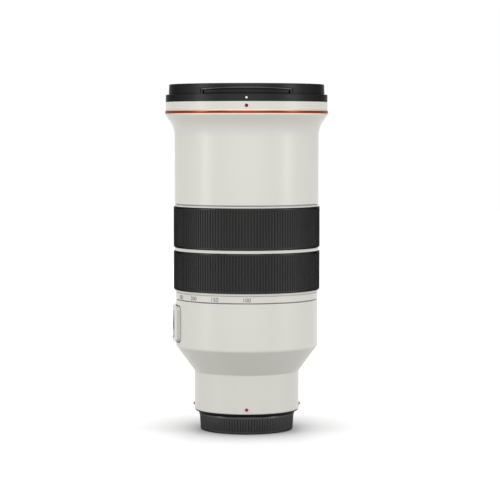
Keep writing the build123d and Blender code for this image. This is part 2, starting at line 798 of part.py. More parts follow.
with BuildPart() as front_barrel:
    with BuildSketch(Plane.XZ):
        with BuildLine():
            FilletPolyline(
                (front_barrel_radius, front_barrel_bottom + small_edge),
                (front_barrel_radius, flare_corner),
                (flare_radius, front_barrel_top - flare_rim),
                radius=flare_rounding,
            )
            Polyline(
                (flare_radius, front_barrel_top - flare_rim),
                (flare_radius, front_barrel_top),
                (front_bore_radius, front_barrel_top),
                (front_bore_radius, front_ledge_top),
                (cell_radius, front_ledge_top),
                (cell_radius, front_ledge_bottom),
                (front_barrel_inner_radius, front_ledge_bottom),
                (front_barrel_inner_radius, front_barrel_bottom),
                (front_barrel_radius - small_edge, front_barrel_bottom),
                (front_barrel_radius, front_barrel_bottom + small_edge),
            )
        make_face()
    revolve(axis=Axis.Z)
front_barrel.part.label = "front_barrel"
export_step(front_barrel.part, "parts/front_barrel.step")

with BuildPart() as front_lens_cell:
    with BuildSketch(Plane.XZ):
        with BuildLine():
            Polyline(
                (cell_inner_radius - cell_shoulder_width, cell_bottom),
                (cell_radius, cell_bottom),
                (cell_radius, front_ledge_top),
                (cup_radius, front_ledge_top),
                (cup_radius, cup_top),
                (front_glass_radius, cup_top),
                (front_glass_radius, front_glass_bottom),
                (cell_inner_radius, front_glass_bottom),
                (cell_inner_radius, doublet_bottom),
                (cell_inner_radius - cell_shoulder_width, doublet_bottom),
                close=True,
            )
        make_face()
    revolve(axis=Axis.Z)
front_lens_cell.part.label = "front_lens_cell"
export_step(front_lens_cell.part, "parts/front_lens_cell.step")

front_element = glass(
    front_glass_radius,
    front_glass_bottom,
    front_glass_edge_top,
    front_glass_rear_sag,
    front_glass_sag,
)
front_element.label = "front_element"
export_step(front_element, "parts/front_element.step")

front_doublet = Compound(
    children=[
        glass(
            cell_inner_radius,
            doublet_bottom,
            doublet_bottom + doublet_edge,
            doublet_rear_sag,
            doublet_joint_sag,
        ),
        glass(
            cell_inner_radius,
            doublet_bottom + doublet_edge,
            doublet_bottom + 2 * doublet_edge,
            -doublet_joint_sag,
            doublet_front_sag - doublet_joint_sag,
        ),
    ]
)
front_doublet.label = "front_doublet"
export_step(front_doublet, "parts/front_doublet.step")

# Retaining ring: a threaded ring that presses on the front glass near its edge
retaining_width = 2.4
retaining_height = 3.0
retaining_lift = 0.05
retaining_inner_radius = front_glass_radius - retaining_width
glass_curve = (front_glass_radius**2 + front_glass_sag**2) / (2 * front_glass_sag)
glass_height_at_ring = sqrt(glass_curve**2 - retaining_inner_radius**2) - (glass_curve - front_glass_sag)
retaining_bottom = front_glass_edge_top + glass_height_at_ring + retaining_lift
front_retaining_ring = tube(retaining_bottom, retaining_height, front_glass_radius, retaining_inner_radius)
front_retaining_ring.label = "front_retaining_ring"
export_step(front_retaining_ring, "parts/front_retaining_ring.step")

# Extension tube: hangs from the front cell and carries the front followers
extension_flange = 3.0
with BuildPart() as extension_tube:
    with BuildSketch(Plane.XY.offset(extension_bottom)):
        Circle(extension_radius)
    extrude(amount=cell_bottom - extension_bottom)
    with BuildSketch(Plane.XY.offset(cell_bottom - extension_flange)):
        Circle(cell_radius)
    extrude(amount=extension_flange)
    with BuildSketch(Plane.XY.offset(extension_bottom)):
        Circle(extension_inner_radius)
    extrude(amount=cell_bottom - extension_bottom, mode=Mode.SUBTRACT)
    for angle in front_angles:
        with BuildSketch(radial_plane(angle, 0, front_follower_level)):
            Circle(follower_radius)
        extrude(amount=cell_radius, mode=Mode.SUBTRACT)
extension_tube.part.label = "extension_tube"
export_step(extension_tube.part, "parts/extension_tube.step")

with BuildPart() as front_followers:
    for angle in front_angles:
        with BuildSketch(radial_plane(angle, extension_inner_radius, front_follower_level)):
            Circle(follower_radius)
        extrude(amount=cam_radius - pin_gap - extension_inner_radius)
front_followers.part.label = "front_followers"
export_step(front_followers.part, "parts/front_followers.step")

# Accent ring: a half-round ring in the rebate under the bezel
accent_depth = 2.9
accent_inner_radius = accent_radius - accent_depth
accent_shoulder = accent_rise + front_ring_step
with BuildPart() as accent_ring:
    with BuildSketch(Plane.XZ):
        with BuildLine():
            Polyline(
                (accent_radius - accent_shoulder, front_barrel_top),
                (accent_inner_radius, front_barrel_top),
                (accent_inner_radius, accent_top),
                (accent_radius - accent_shoulder, accent_top),
            )
            ThreePointArc(
                (accent_radius - accent_shoulder, accent_top),
                (accent_radius, (accent_top + front_barrel_top) / 2),
                (accent_radius - accent_shoulder, front_barrel_top),
            )
        make_face()
    revolve(axis=Axis.Z)
accent_ring.part.label = "accent_ring"
export_step(accent_ring.part, "parts/accent_ring.step")

# Bezel: the white ring that clamps the accent ring, with a shallow seat for its red dot
bezel_dot_radius = 1.15
hood_dot_radius = 1.0
dot_seat = 0.2
with BuildPart() as front_bezel:
    with BuildSketch(Plane.XZ):
        with BuildLine():
            Polyline(
                (front_bore_radius, front_barrel_top),
                (accent_inner_radius, front_barrel_top),
                (accent_inner_radius, accent_top),
                (front_ring_radius - small_edge, accent_top),
                (front_ring_radius, accent_top + small_edge),
                (front_ring_radius, bezel_top),
                (front_bore_radius, bezel_top),
                close=True,
            )
        make_face()
    revolve(axis=Axis.Z)
    with BuildSketch(radial_plane(-90, front_ring_radius - dot_seat, (accent_top + bezel_top) / 2)):
        Circle(bezel_dot_radius)
    extrude(amount=cut_margin, mode=Mode.SUBTRACT)
front_bezel.part.label = "front_bezel"
export_step(front_bezel.part, "parts/front_bezel.step")

# Hood ring: black, threaded inside for filters, with a shallow seat for its white dot
with BuildPart() as hood_mount_ring:
    with BuildSketch(Plane.XZ):
        with BuildLine():
            Polyline(
                (front_bore_radius, bezel_top),
                (front_ring_radius, bezel_top),
                (front_ring_radius, hood_mount_top - small_edge),
                (front_ring_radius - small_edge, hood_mount_top),
                (front_bore_radius + small_edge, hood_mount_top),
                (front_bore_radius, hood_mount_top - small_edge),
                close=True,
            )
        make_face()
    revolve(axis=Axis.Z)
    with BuildSketch(radial_plane(-90, front_ring_radius - dot_seat, (bezel_top + hood_mount_top) / 2)):
        Circle(hood_dot_radius)
    extrude(amount=cut_margin, mode=Mode.SUBTRACT)
hood_mount_ring.part.label = "hood_mount_ring"
export_step(hood_mount_ring.part, "parts/hood_mount_ring.step")

# Front cap: a dished disc whose plug fills the filter thread, with a window for each pinch tab
cap_foot_inset = 2.1
cap_draft = 0.3
cap_plate = 2.0
cap_dish = 0.7
cap_rim_width = 3.6
cap_rim_edge = 0.3
cap_seam_height = 0.45
cap_seam_depth = 0.6
cap_plug_gap = 0.4
cap_plug_wall = 1.9
cap_plug_depth = 3.6
cap_frame_turn = 35.6
cap_frame_height = 4.1
cap_frame_depth = 0.5
window_end_height = 2.9
window_middle_height = 3.9
tab_half_width = 30.1
tab_gap = 0.3
tab_thickness = 1.6
tab_floor = 0.2
tab_lip_gap = 0.25
tab_lip_wall = 1.2
tab_face_inset = 0.9
tab_length = 25.9
tab_travel = 2.5
claw_half_width = 17.0
claw_depth = 3.2
claw_wall = 1.6
pad_half_width = 11.5
pad_inset = 14.4
pad_length = 9.5
pad_rise = 0.4
pad_groove_count = 3
pad_groove_pitch = 2.4
pad_groove_width = 1.0
pad_groove_depth = 0.5
cap_foot_radius = front_ring_radius - cap_foot_inset
cap_top_radius = cap_foot_radius - cap_draft
cap_seam_radius = cap_foot_radius - cap_seam_depth
cap_plug_radius = front_bore_radius - cap_plug_gap
cap_plug_inner_radius = cap_plug_radius - cap_plug_wall
cap_plug_bottom = front_cap_bottom - cap_plug_depth
cap_dish_floor = front_cap_top - cap_dish
cap_plate_bottom = cap_dish_floor - cap_plate
cap_dish_radius = cap_top_radius - cap_rim_width
tab_bottom = front_cap_bottom + tab_floor
tab_top = tab_bottom + tab_thickness
tab_radius = cap_top_radius - tab_face_inset
tab_inner_edge = tab_radius - tab_length
pad_outer_edge = tab_radius - pad_inset
pad_inner_edge = pad_outer_edge - pad_length
claw_radius = front_bore_radius - tab_gap
guide_rib_width = 2.0
guide_rib_outer_x = tab_half_width + tab_gap + guide_rib_width
guide_rib_end = sqrt(cap_plug_inner_radius**2 - guide_rib_outer_x**2)
guide_rib_length = guide_rib_end - tab_inner_edge
guide_rib_x = guide_rib_outer_x - guide_rib_width / 2
guide_rib_y = tab_inner_edge + guide_rib_length / 2
window_half_width = tab_half_width + tab_gap
window_left_foot = (-window_half_width, front_cap_bottom)
window_left_end = (-window_half_width, front_cap_bottom + window_end_height)
window_right_foot = (window_half_width, front_cap_bottom)
window_right_end = (window_half_width, front_cap_bottom + window_end_height)
lip_left_foot = (-tab_half_width, tab_bottom)
lip_left_end = (-tab_half_width, front_cap_bottom + window_end_height - tab_lip_gap)
lip_right_foot = (tab_half_width, tab_bottom)
lip_right_end = (tab_half_width, front_cap_bottom + window_end_height - tab_lip_gap)
lip_middle = (0, front_cap_bottom + window_middle_height - tab_lip_gap)
pad_window_inner = pad_inner_edge - tab_travel - tab_gap
pad_window_outer = pad_outer_edge + tab_gap

with BuildPart() as front_cap:
    with BuildSketch(Plane.XZ):
        with BuildLine():
            Polyline(
                (0, cap_plate_bottom),
                (cap_plug_inner_radius, cap_plate_bottom),
                (cap_plug_inner_radius, cap_plug_bottom),
                (cap_plug_radius, cap_plug_bottom),
                (cap_plug_radius, front_cap_bottom),
                (cap_seam_radius, front_cap_bottom),
                (cap_seam_radius, front_cap_bottom + cap_seam_height),
                (cap_foot_radius, front_cap_bottom + cap_seam_height),
                (cap_top_radius, front_cap_top - cap_rim_edge),
                (cap_top_radius - cap_rim_edge, front_cap_top),
                (cap_dish_radius, front_cap_top),
                (cap_dish_radius - cap_dish, cap_dish_floor),
                (0, cap_dish_floor),
                close=True,
            )
        make_face()
    revolve(axis=Axis.Z)
    for side in (-1, 1):
        with BuildSketch(Plane.XY.offset(tab_bottom)):
            with Locations((-guide_rib_x, side * guide_rib_y), (guide_rib_x, side * guide_rib_y)):
                Rectangle(guide_rib_width, guide_rib_length)
        extrude(amount=cap_plate_bottom - tab_bottom)
        with BuildSketch(lengthways_plane(90 * side - cap_frame_turn, front_cap_bottom)):
            with Locations((cap_foot_radius, cap_frame_height / 2)):
                Rectangle(2 * cap_frame_depth, cap_frame_height)
        revolve(axis=Axis.Z, revolution_arc=2 * cap_frame_turn, mode=Mode.SUBTRACT)
        with BuildSketch(Plane.XZ.offset(-side * tab_inner_edge)):
            with BuildLine():
                Polyline(window_left_end, window_left_foot, window_right_foot, window_right_end)
                ThreePointArc(window_right_end, (0, front_cap_bottom + window_middle_height), window_left_end)
            make_face()
        extrude(amount=-side * (cap_foot_radius - tab_inner_edge), mode=Mode.SUBTRACT)
        with BuildSketch(Plane.XY.offset(cap_plug_bottom)):
            with Locations((0, side * cap_foot_radius)):
                Rectangle(2 * (claw_half_width + tab_gap), 2 * (cap_foot_radius - tab_inner_edge))
        extrude(amount=cap_plug_depth, mode=Mode.SUBTRACT)
        with BuildSketch(Plane.XY.offset(cap_plate_bottom)):
            with Locations((0, side * (pad_window_outer + pad_window_inner) / 2)):
                Rectangle(2 * (pad_half_width + tab_gap), pad_window_outer - pad_window_inner)
        extrude(amount=cap_plate + cap_dish, mode=Mode.SUBTRACT)
front_cap.part.label = "front_cap"
export_step(front_cap.part, "parts/front_cap.step")

# Pinch tabs: each slides inwards under a grooved finger pad and draws its claw out of the filter thread.
# An upright lip at its outer edge fills the arched window of the cap.
for side, name in ((-1, "front_cap_tab_front"), (1, "front_cap_tab_back")):
    with BuildPart() as tab_lip:
        with BuildSketch(Plane.XZ.offset(-side * tab_inner_edge)):
            with BuildLine():
                Polyline(lip_left_end, lip_left_foot, lip_right_foot, lip_right_end)
                ThreePointArc(lip_right_end, lip_middle, lip_left_end)
            make_face()
        extrude(amount=-side * (tab_radius - tab_inner_edge))
        with BuildSketch(Plane.XY.offset(tab_bottom)):
            Circle(tab_radius)
            Circle(tab_radius - tab_lip_wall, mode=Mode.SUBTRACT)
        extrude(amount=window_middle_height, mode=Mode.INTERSECT)
    with BuildPart() as tab:
        add(tab_lip.part)
        with BuildSketch(Plane.XY.offset(tab_bottom)):
            Circle(tab_radius)
            with Locations((0, side * (tab_radius + tab_inner_edge) / 2)):
                Rectangle(2 * tab_half_width, tab_radius - tab_inner_edge, mode=Mode.INTERSECT)
        extrude(amount=tab_thickness)
        with BuildSketch(Plane.XY.offset(tab_bottom - claw_depth)):
            Circle(claw_radius)
            Circle(claw_radius - claw_wall, mode=Mode.SUBTRACT)
            with Locations((0, side * claw_radius)):
                Rectangle(2 * claw_half_width, claw_radius, mode=Mode.INTERSECT)
        extrude(amount=claw_depth)
        with BuildSketch(Plane.XY.offset(tab_top)):
            with Locations((0, side * (pad_outer_edge + pad_inner_edge) / 2)):
                Rectangle(2 * pad_half_width, pad_outer_edge - pad_inner_edge)
        extrude(amount=cap_dish_floor + pad_rise - tab_top)
        with BuildSketch(Plane.XY.offset(cap_dish_floor + pad_rise - pad_groove_depth)):
            with Locations((0, side * (pad_outer_edge + pad_inner_edge) / 2)):
                with GridLocations(0, pad_groove_pitch, 1, pad_groove_count):
                    Rectangle(2 * pad_half_width, pad_groove_width)
        extrude(amount=pad_groove_depth, mode=Mode.SUBTRACT)
    tab.part.label = name
    export_step(tab.part, f"parts/{name}.step")

# Iris: a housing with a pin for each blade, a drive ring with a slot for each blade, and the blades
iris_open_inset = 5.0
blade_lever = 5.0
blade_pin_radius = 0.8
blade_swing = 32.0
blade_arm_turn = 76.0
blade_heel_turn = 4.0
blade_band = 3.4
blade_lobe_width = 3.2
iris_ring_width = 6.6
iris_guide_wall = 1.0
iris_coil_turn = 44.0
iris_coil_gap = 4.2
iris_coil_depth = 6.0
iris_guide_radius = guide_inner_radius - iris_coil_gap - iris_coil_depth
iris_guide_inner_radius = iris_guide_radius - iris_guide_wall
iris_ring_radius = iris_guide_inner_radius - running_gap
iris_ring_inner_radius = iris_ring_radius - iris_ring_width
blade_pivot_radius = iris_ring_inner_radius - running_gap - 2 * blade_pin_radius
iris_open_radius = blade_pivot_radius - iris_open_inset
leaf_middle_radius = iris_open_radius + blade_gap + blade_band / 2
swung_x = blade_pivot_radius + blade_lever * cos(radians(blade_swing))
swung_y = blade_lever * sin(radians(blade_swing))
iris_ring_swing = degrees(atan2(swung_y, swung_x))
swung_radius = sqrt(swung_x**2 + swung_y**2)
rest_radius = blade_pivot_radius + blade_lever
print("iris ring turn", round(iris_ring_swing, 3), "degrees, for a blade swing of", blade_swing)

with BuildPart() as iris_housing:
    with BuildSketch(Plane.XY.offset(iris_bottom)):
        Circle(guide_inner_radius)
        Circle(iris_open_radius, mode=Mode.SUBTRACT)
    extrude(amount=iris_floor)
    with BuildSketch(Plane.XY.offset(iris_floor_top)):
        Circle(iris_guide_radius)
        Circle(iris_guide_inner_radius, mode=Mode.SUBTRACT)
    extrude(amount=iris_ring_top - iris_floor_top)
    with BuildSketch(Plane.XY.offset(iris_floor_top)):
        with PolarLocations(blade_pivot_radius, blade_count):
            Circle(blade_pin_radius)
    extrude(amount=iris_blades_top - iris_floor_top)
iris_housing.part.label = "iris_housing"
export_step(iris_housing.part, "parts/iris_housing.step")

with BuildPart() as iris_drive_ring:
    with BuildSketch(Plane.XY.offset(iris_ring_bottom)):
        Circle(iris_ring_radius)
        Circle(iris_ring_inner_radius, mode=Mode.SUBTRACT)
        with PolarLocations((rest_radius + swung_radius) / 2, blade_count):
            SlotCenterToCenter(
                rest_radius - swung_radius,
                2 * (blade_pin_radius + pin_gap),
                mode=Mode.SUBTRACT,
            )
    extrude(amount=iris_ring_thickness)
iris_drive_ring.part.label = "iris_drive_ring"
export_step(iris_drive_ring.part, "parts/iris_drive_ring.step")

with BuildPart() as iris_coil:
    with BuildSketch(lengthways_plane(180 - iris_coil_turn / 2)):
        with Locations((iris_guide_radius + iris_coil_depth / 2, (iris_floor_top + iris_ring_top) / 2)):
            Rectangle(iris_coil_depth, iris_ring_top - iris_floor_top)
    revolve(axis=Axis.Z, revolution_arc=iris_coil_turn)
iris_coil.part.label = "iris_coil"
export_step(iris_coil.part, "parts/iris_coil.step")

# Iris blades: a curved leaf, a lobe with the pivot hole, and a pin up to the drive ring
for blade in range(blade_count):
    leaf_bottom = iris_blades_bottom + blade * blade_pitch
    with BuildPart() as iris_blade:
        with BuildSketch(lengthways_plane(-blade_heel_turn)):
            with Locations((leaf_middle_radius, leaf_bottom + blade_thickness / 2)):
                Rectangle(blade_band, blade_thickness)
        revolve(axis=Axis.Z, revolution_arc=blade_arm_turn + blade_heel_turn)
        with BuildSketch(Plane.XY.offset(leaf_bottom)):
            with Locations((blade_pivot_radius + (blade_lever - blade_band) / 2, 0)):
                SlotCenterToCenter(blade_lever + blade_band, blade_lobe_width)
        extrude(amount=blade_thickness)
        with BuildSketch(Plane.XY.offset(leaf_bottom)):
            with Locations((blade_pivot_radius, 0)):
                Circle(blade_pin_radius + pin_gap)
        extrude(amount=blade_thickness, mode=Mode.SUBTRACT)
        with BuildSketch(Plane.XY.offset(leaf_bottom + blade_thickness)):
            with Locations((rest_radius, 0)):
                Circle(blade_pin_radius)
        extrude(amount=iris_ring_top - leaf_bottom - blade_thickness)
    with BuildPart() as placed_blade:
        with PolarLocations(0, 1, start_angle=360 / blade_count * blade):
            add(iris_blade.part)
    placed_blade.part.label = f"iris_blade_{blade + 1}"
    export_step(placed_blade.part, f"parts/iris_blade_{blade + 1}.step")

# Stabiliser: a fixed base, an L-shaped guide shaft that slides across it, and a frame that slides along it
stabiliser_glass_radius = 15.0
stabiliser_cell_wall = 3.0
stabiliser_travel = 1.0
stabiliser_hole_gap = 2.0
shaft_radius = 0.8
shaft_inset = 13.5
shaft_tail = 12.0
shaft_lift = 2.6
shaft_bend = 2.4
bearing_width = 3.2
bearing_near = 8.0
bearing_far = 14.0
bearing_wall = 1.0
coil_offset = 26.0
coil_length = 12.0
coil_width = 9.0
coil_thickness = 1.0
coil_window_length = 6.0
coil_window_width = 3.0
magnet_gap = 0.5
magnet_plate = 1.6
stabiliser_cell_radius = stabiliser_glass_radius + stabiliser_cell_wall
shaft_offset = guide_inner_radius - shaft_inset
shaft_level = stabiliser_base_top + shaft_lift
bearing_top = shaft_level + shaft_radius + bearing_wall
coil_places = [(-coil_offset, 0), (0, -coil_offset)]

with BuildPart() as stabiliser_base:
    with BuildSketch(Plane.XY.offset(stabiliser_base_bottom)):
        Circle(guide_inner_radius)
        Circle(stabiliser_cell_radius + stabiliser_hole_gap, mode=Mode.SUBTRACT)
    extrude(amount=stabiliser_base_thickness)
    with BuildSketch(Plane.XY.offset(stabiliser_base_top)):
        with Locations((-bearing_near, shaft_offset), (bearing_far, shaft_offset)):
            Rectangle(bearing_width, bearing_width)
    extrude(amount=bearing_top - stabiliser_base_top)
    with BuildSketch(Plane.YZ.offset(-shaft_offset)):
        with Locations((shaft_offset, shaft_level)):
            Circle(shaft_radius + pin_gap)
    extrude(amount=2 * shaft_offset, mode=Mode.SUBTRACT)
stabiliser_base.part.label = "stabiliser_base"
export_step(stabiliser_base.part, "parts/stabiliser_base.step")

with BuildPart() as stabiliser_coils:
    with BuildSketch(Plane.XY.offset(stabiliser_base_top)):
        with Locations(coil_places[0]):
            RectangleRounded(coil_width, coil_length, coil_width / 3)
            RectangleRounded(
                coil_window_width,
                coil_window_length,
                coil_window_width / 3,
                mode=Mode.SUBTRACT,
            )
        with Locations(coil_places[1]):
            RectangleRounded(coil_length, coil_width, coil_width / 3)
            RectangleRounded(
                coil_window_length,
                coil_window_width,
                coil_window_width / 3,
                mode=Mode.SUBTRACT,
            )
    extrude(amount=coil_thickness)
stabiliser_coils.part.label = "stabiliser_coils"
export_step(stabiliser_coils.part, "parts/stabiliser_coils.step")

with BuildPart() as stabiliser_shaft:
    with BuildLine() as shaft_route:
        FilletPolyline(
            (-shaft_tail, shaft_offset, shaft_level),
            (shaft_offset, shaft_offset, shaft_level),
            (shaft_offset, -shaft_tail, shaft_level),
            radius=shaft_bend,
        )
    with BuildSketch(Plane(origin=shaft_route.line @ 0, z_dir=shaft_route.line % 0)):
        Circle(shaft_radius)
    sweep(path=shaft_route.line)
stabiliser_shaft.part.label = "stabiliser_shaft"
export_step(stabiliser_shaft.part, "parts/stabiliser_shaft.step")

with BuildPart() as stabiliser_frame:
    with BuildSketch(Plane.XY.offset(stabiliser_frame_bottom)):
        Circle(stabiliser_cell_radius)
    extrude(amount=stabiliser_frame_length)
    with BuildSketch(Plane.XY.offset(stabiliser_frame_bottom)):
        for place in (-bearing_near, bearing_near):
            with Locations(((shaft_offset + bearing_width / 2) / 2, place)):
                Rectangle(shaft_offset + bearing_width / 2, bearing_width)
    extrude(amount=bearing_top - stabiliser_frame_bottom)
    with BuildSketch(Plane.XY.offset(stabiliser_base_top + coil_thickness + magnet_gap)):
        with Locations((-coil_offset / 2 - coil_width / 4, 0)):
            Rectangle(coil_offset + coil_width / 2, coil_length)
        with Locations((0, -coil_offset / 2 - coil_width / 4)):
            Rectangle(coil_length, coil_offset + coil_width / 2)
    extrude(amount=magnet_plate)
    with BuildSketch(Plane.XZ.offset(-shaft_offset)):
        with Locations((shaft_offset, shaft_level)):
            Circle(shaft_radius + pin_gap)
    extrude(amount=2 * shaft_offset, mode=Mode.SUBTRACT)
    with BuildSketch(Plane.XY.offset(stabiliser_base_bottom)):
        Circle(stabiliser_glass_radius)
    extrude(amount=iris_bottom - stabiliser_base_bottom, mode=Mode.SUBTRACT)
stabiliser_frame.part.label = "stabiliser_frame"
export_step(stabiliser_frame.part, "parts/stabiliser_frame.step")

stabiliser_edge = 2.6
stabiliser_sag = 0.8
stabiliser_element = glass(
    stabiliser_glass_radius,
    stabiliser_frame_bottom + stabiliser_sag,
    stabiliser_frame_bottom + stabiliser_sag + stabiliser_edge,
    -stabiliser_sag,
    stabiliser_sag,
)
stabiliser_element.label = "stabiliser_element"
export_step(stabiliser_element, "parts/stabiliser_element.step")

# Rear lens cell: seated on the mount ledge, with the last glass
rear_cell_flange = 2.0
rear_cell_clearance = 3.5
rear_cell_wall = 2.2
rear_cell_lip = 1.4
rear_cell_depth = 6.4
rear_cell_rise = 3.4
rear_glass_edge = 3.6
rear_glass_sag = 1.0
rear_flange_top = mount_ledge_top + rear_cell_flange
rear_cell_bottom = mount_ledge_top - rear_cell_depth
rear_glass_bottom = rear_cell_bottom + rear_cell_lip
rear_cell_radius = bayonet_inner_radius - rear_cell_clearance
rear_glass_radius = rear_cell_radius - rear_cell_wall

with BuildPart() as rear_lens_cell:
    with BuildSketch(Plane.XZ):
        with BuildLine():
            Polyline(
                (rear_glass_radius - rear_cell_lip, rear_cell_bottom),
                (rear_cell_radius, rear_cell_bottom),
                (rear_cell_radius, mount_ledge_top),
                (neck_inner_radius, mount_ledge_top),
                (neck_inner_radius, rear_flange_top),
                (rear_cell_radius, rear_flange_top),
                (rear_cell_radius, rear_flange_top + rear_cell_rise),
                (rear_glass_radius, rear_flange_top + rear_cell_rise),
                (rear_glass_radius, rear_glass_bottom),
                (rear_glass_radius - rear_cell_lip, rear_glass_bottom),
                close=True,
            )
        make_face()
    revolve(axis=Axis.Z)
rear_lens_cell.part.label = "rear_lens_cell"
export_step(rear_lens_cell.part, "parts/rear_lens_cell.step")

rear_element = glass(
    rear_glass_radius,
    rear_glass_bottom,
    rear_glass_bottom + rear_glass_edge,
    -rear_glass_sag,
    rear_glass_sag,
)
rear_element.label = "rear_element"
export_step(rear_element, "parts/rear_element.step")

# Contacts: an insulating block inside the bayonet with a row of gold pins, and the baffle above it
contact_count = 12
contact_pitch_turn = 7.5
contact_block_width = 3.8
contact_block_height = 2.4
contact_block_lift = 0.9
contact_radius = 0.7
contact_stand = 0.4
baffle_thickness = 1.0
baffle_side_width = 5.3
baffle_top_width = 10.3
baffle_corner = 3.0
contact_turn = contact_pitch_turn * (contact_count + 1)
contact_block_bottom = bayonet_bottom + contact_block_lift
contact_block_top = contact_block_bottom + contact_block_height
contact_circle = bayonet_inner_radius - contact_block_width / 2
baffle_opening_width = 2 * (bayonet_inner_radius - baffle_side_width)
baffle_opening_height = 2 * (bayonet_inner_radius - baffle_top_width)
contact_start = 90 - contact_turn / 2
contact_row = PolarLocations(
    contact_circle,
    contact_count,
    start_angle=contact_start + contact_pitch_turn,
    angular_range=contact_count * contact_pitch_turn,
)

with BuildPart() as contact_block:
    with BuildSketch(lengthways_plane(contact_start)):
        with Locations((contact_circle, (contact_block_bottom + contact_block_top) / 2)):
            Rectangle(contact_block_width, contact_block_height)
    revolve(axis=Axis.Z, revolution_arc=contact_turn)
    with BuildSketch(Plane.XY.offset(contact_block_bottom)):
        with Locations(*contact_row.local_locations):
            Circle(contact_radius)
    extrude(amount=contact_block_height, mode=Mode.SUBTRACT)
contact_block.part.label = "contact_block"
export_step(contact_block.part, "parts/contact_block.step")

with BuildPart() as contact_pins:
    with BuildSketch(Plane.XY.offset(contact_block_bottom - contact_stand)):
        with Locations(*contact_row.local_locations):
            Circle(contact_radius)
    extrude(amount=contact_block_height + contact_stand)
contact_pins.part.label = "contact_pins"
export_step(contact_pins.part, "parts/contact_pins.step")

with BuildPart() as rear_baffle:
    with BuildSketch(Plane.XY.offset(contact_block_top)):
        Circle(bayonet_inner_radius)
        RectangleRounded(baffle_opening_width, baffle_opening_height, baffle_corner, mode=Mode.SUBTRACT)
    extrude(amount=baffle_thickness)
rear_baffle.part.label = "rear_baffle"
export_step(rear_baffle.part, "parts/rear_baffle.step")

# Focus group: a cell that slides on two rods, driven by a straight ultrasonic motor
focus_glass_radius = 15.0
focus_cell_wall = 2.0
focus_cell_length = 8.0
focus_travel = 10.0
focus_rest = 6.0
focus_lip = 1.0
rod_radius = 1.5
rod_inset = 8.2
rod_count = 2
rod_angle = 90
boss_wall = 1.6
motor_width = 9.0
motor_depth = 3.4
motor_inset = 4.2
arm_width = 4.0
rod_circle = neck_inner_radius - rod_inset
motor_circle = neck_inner_radius - motor_inset
focus_bottom = rear_flange_top + focus_rest
focus_top = focus_bottom + focus_cell_length
focus_cell_radius = focus_glass_radius + focus_cell_wall
rod_length = stabiliser_base_bottom - rear_flange_top
motor_face = motor_circle - motor_depth / 2
arm_length = rod_circle - focus_glass_radius

with BuildPart() as focus_guide_rods:
    with BuildSketch(Plane.XY.offset(rear_flange_top)):
        with PolarLocations(rod_circle, rod_count, start_angle=rod_angle):
            Circle(rod_radius)
    extrude(amount=rod_length)
focus_guide_rods.part.label = "focus_guide_rods"
export_step(focus_guide_rods.part, "parts/focus_guide_rods.step")

with BuildPart() as focus_motor:
    with BuildSketch(Plane.XY.offset(rear_flange_top)):
        with Locations((-motor_circle, 0)):
            Rectangle(motor_depth, motor_width)
    extrude(amount=rod_length)
focus_motor.part.label = "focus_motor"
export_step(focus_motor.part, "parts/focus_motor.step")

with BuildPart() as focus_cell:
    with BuildSketch(Plane.XY.offset(focus_bottom)):
        Circle(focus_cell_radius)
        with PolarLocations(rod_circle, rod_count, start_angle=rod_angle):
            Circle(rod_radius + pin_gap + boss_wall)
        with PolarLocations(rod_circle - arm_length / 2, rod_count, start_angle=rod_angle):
            Rectangle(arm_length, arm_width)
        with Locations((-(motor_face - running_gap) / 2, 0)):
            Rectangle(motor_face - running_gap, arm_width)
        with PolarLocations(rod_circle, rod_count, start_angle=rod_angle):
            Circle(rod_radius + pin_gap, mode=Mode.SUBTRACT)
    extrude(amount=focus_cell_length)
    with BuildSketch(Plane.XY.offset(focus_bottom)):
        Circle(focus_glass_radius - focus_lip)
    extrude(amount=focus_cell_length, mode=Mode.SUBTRACT)
    with BuildSketch(Plane.XY.offset(focus_bottom + focus_lip)):
        Circle(focus_glass_radius)
    extrude(amount=focus_cell_length, mode=Mode.SUBTRACT)
focus_cell.part.label = "focus_cell"
export_step(focus_cell.part, "parts/focus_cell.step")

focus_edge = 3.2
focus_sag = 0.9
focus_element = glass(
    focus_glass_radius,
    focus_bottom + focus_lip,
    focus_bottom + focus_lip + focus_edge,
    -focus_sag,
    -focus_sag,
)
focus_element.label = "focus_element"
export_step(focus_element, "parts/focus_element.step")

# Main board: a ring under the tube ledge, with its chips on the rear side
board_thickness = 1.6
board_width = 4.2
chip_width = 3.4
chip_length = 7.0
chip_height = 1.2
chip_count = 8
board_inner_radius = guide_radius + running_gap
board_radius = board_inner_radius + board_width
board_bottom = tube_ledge_bottom - board_thickness

with BuildPart() as main_board:
    with BuildSketch(Plane.XY.offset(board_bottom)):
        Circle(board_radius)
        Circle(board_inner_radius, mode=Mode.SUBTRACT)
    extrude(amount=board_thickness)
    with BuildSketch(Plane.XY.offset(board_bottom - chip_height)):
        with PolarLocations(board_inner_radius + chip_width / 2 + small_edge, chip_count):
            Rectangle(chip_width, chip_length)
    extrude(amount=chip_height)
main_board.part.label = "main_board"
export_step(main_board.part, "parts/main_board.step")
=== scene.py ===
# %% [markdown]
# A super telephoto lens, dressed piece by piece
#
# The CAD model already holds every piece of the lens at its real size: barrels, rings, glass, blades and
# caps. What it lacks is the surface of each one. A lens is mostly turned on a lathe, so most of this lesson
# is one idea used again and again: a short outline, carried round the optical axis, with a little relief
# added. Sizes are in millimetres, as on a workshop drawing, and become metres only when a mesh is made.

# %% Load the frame
import math

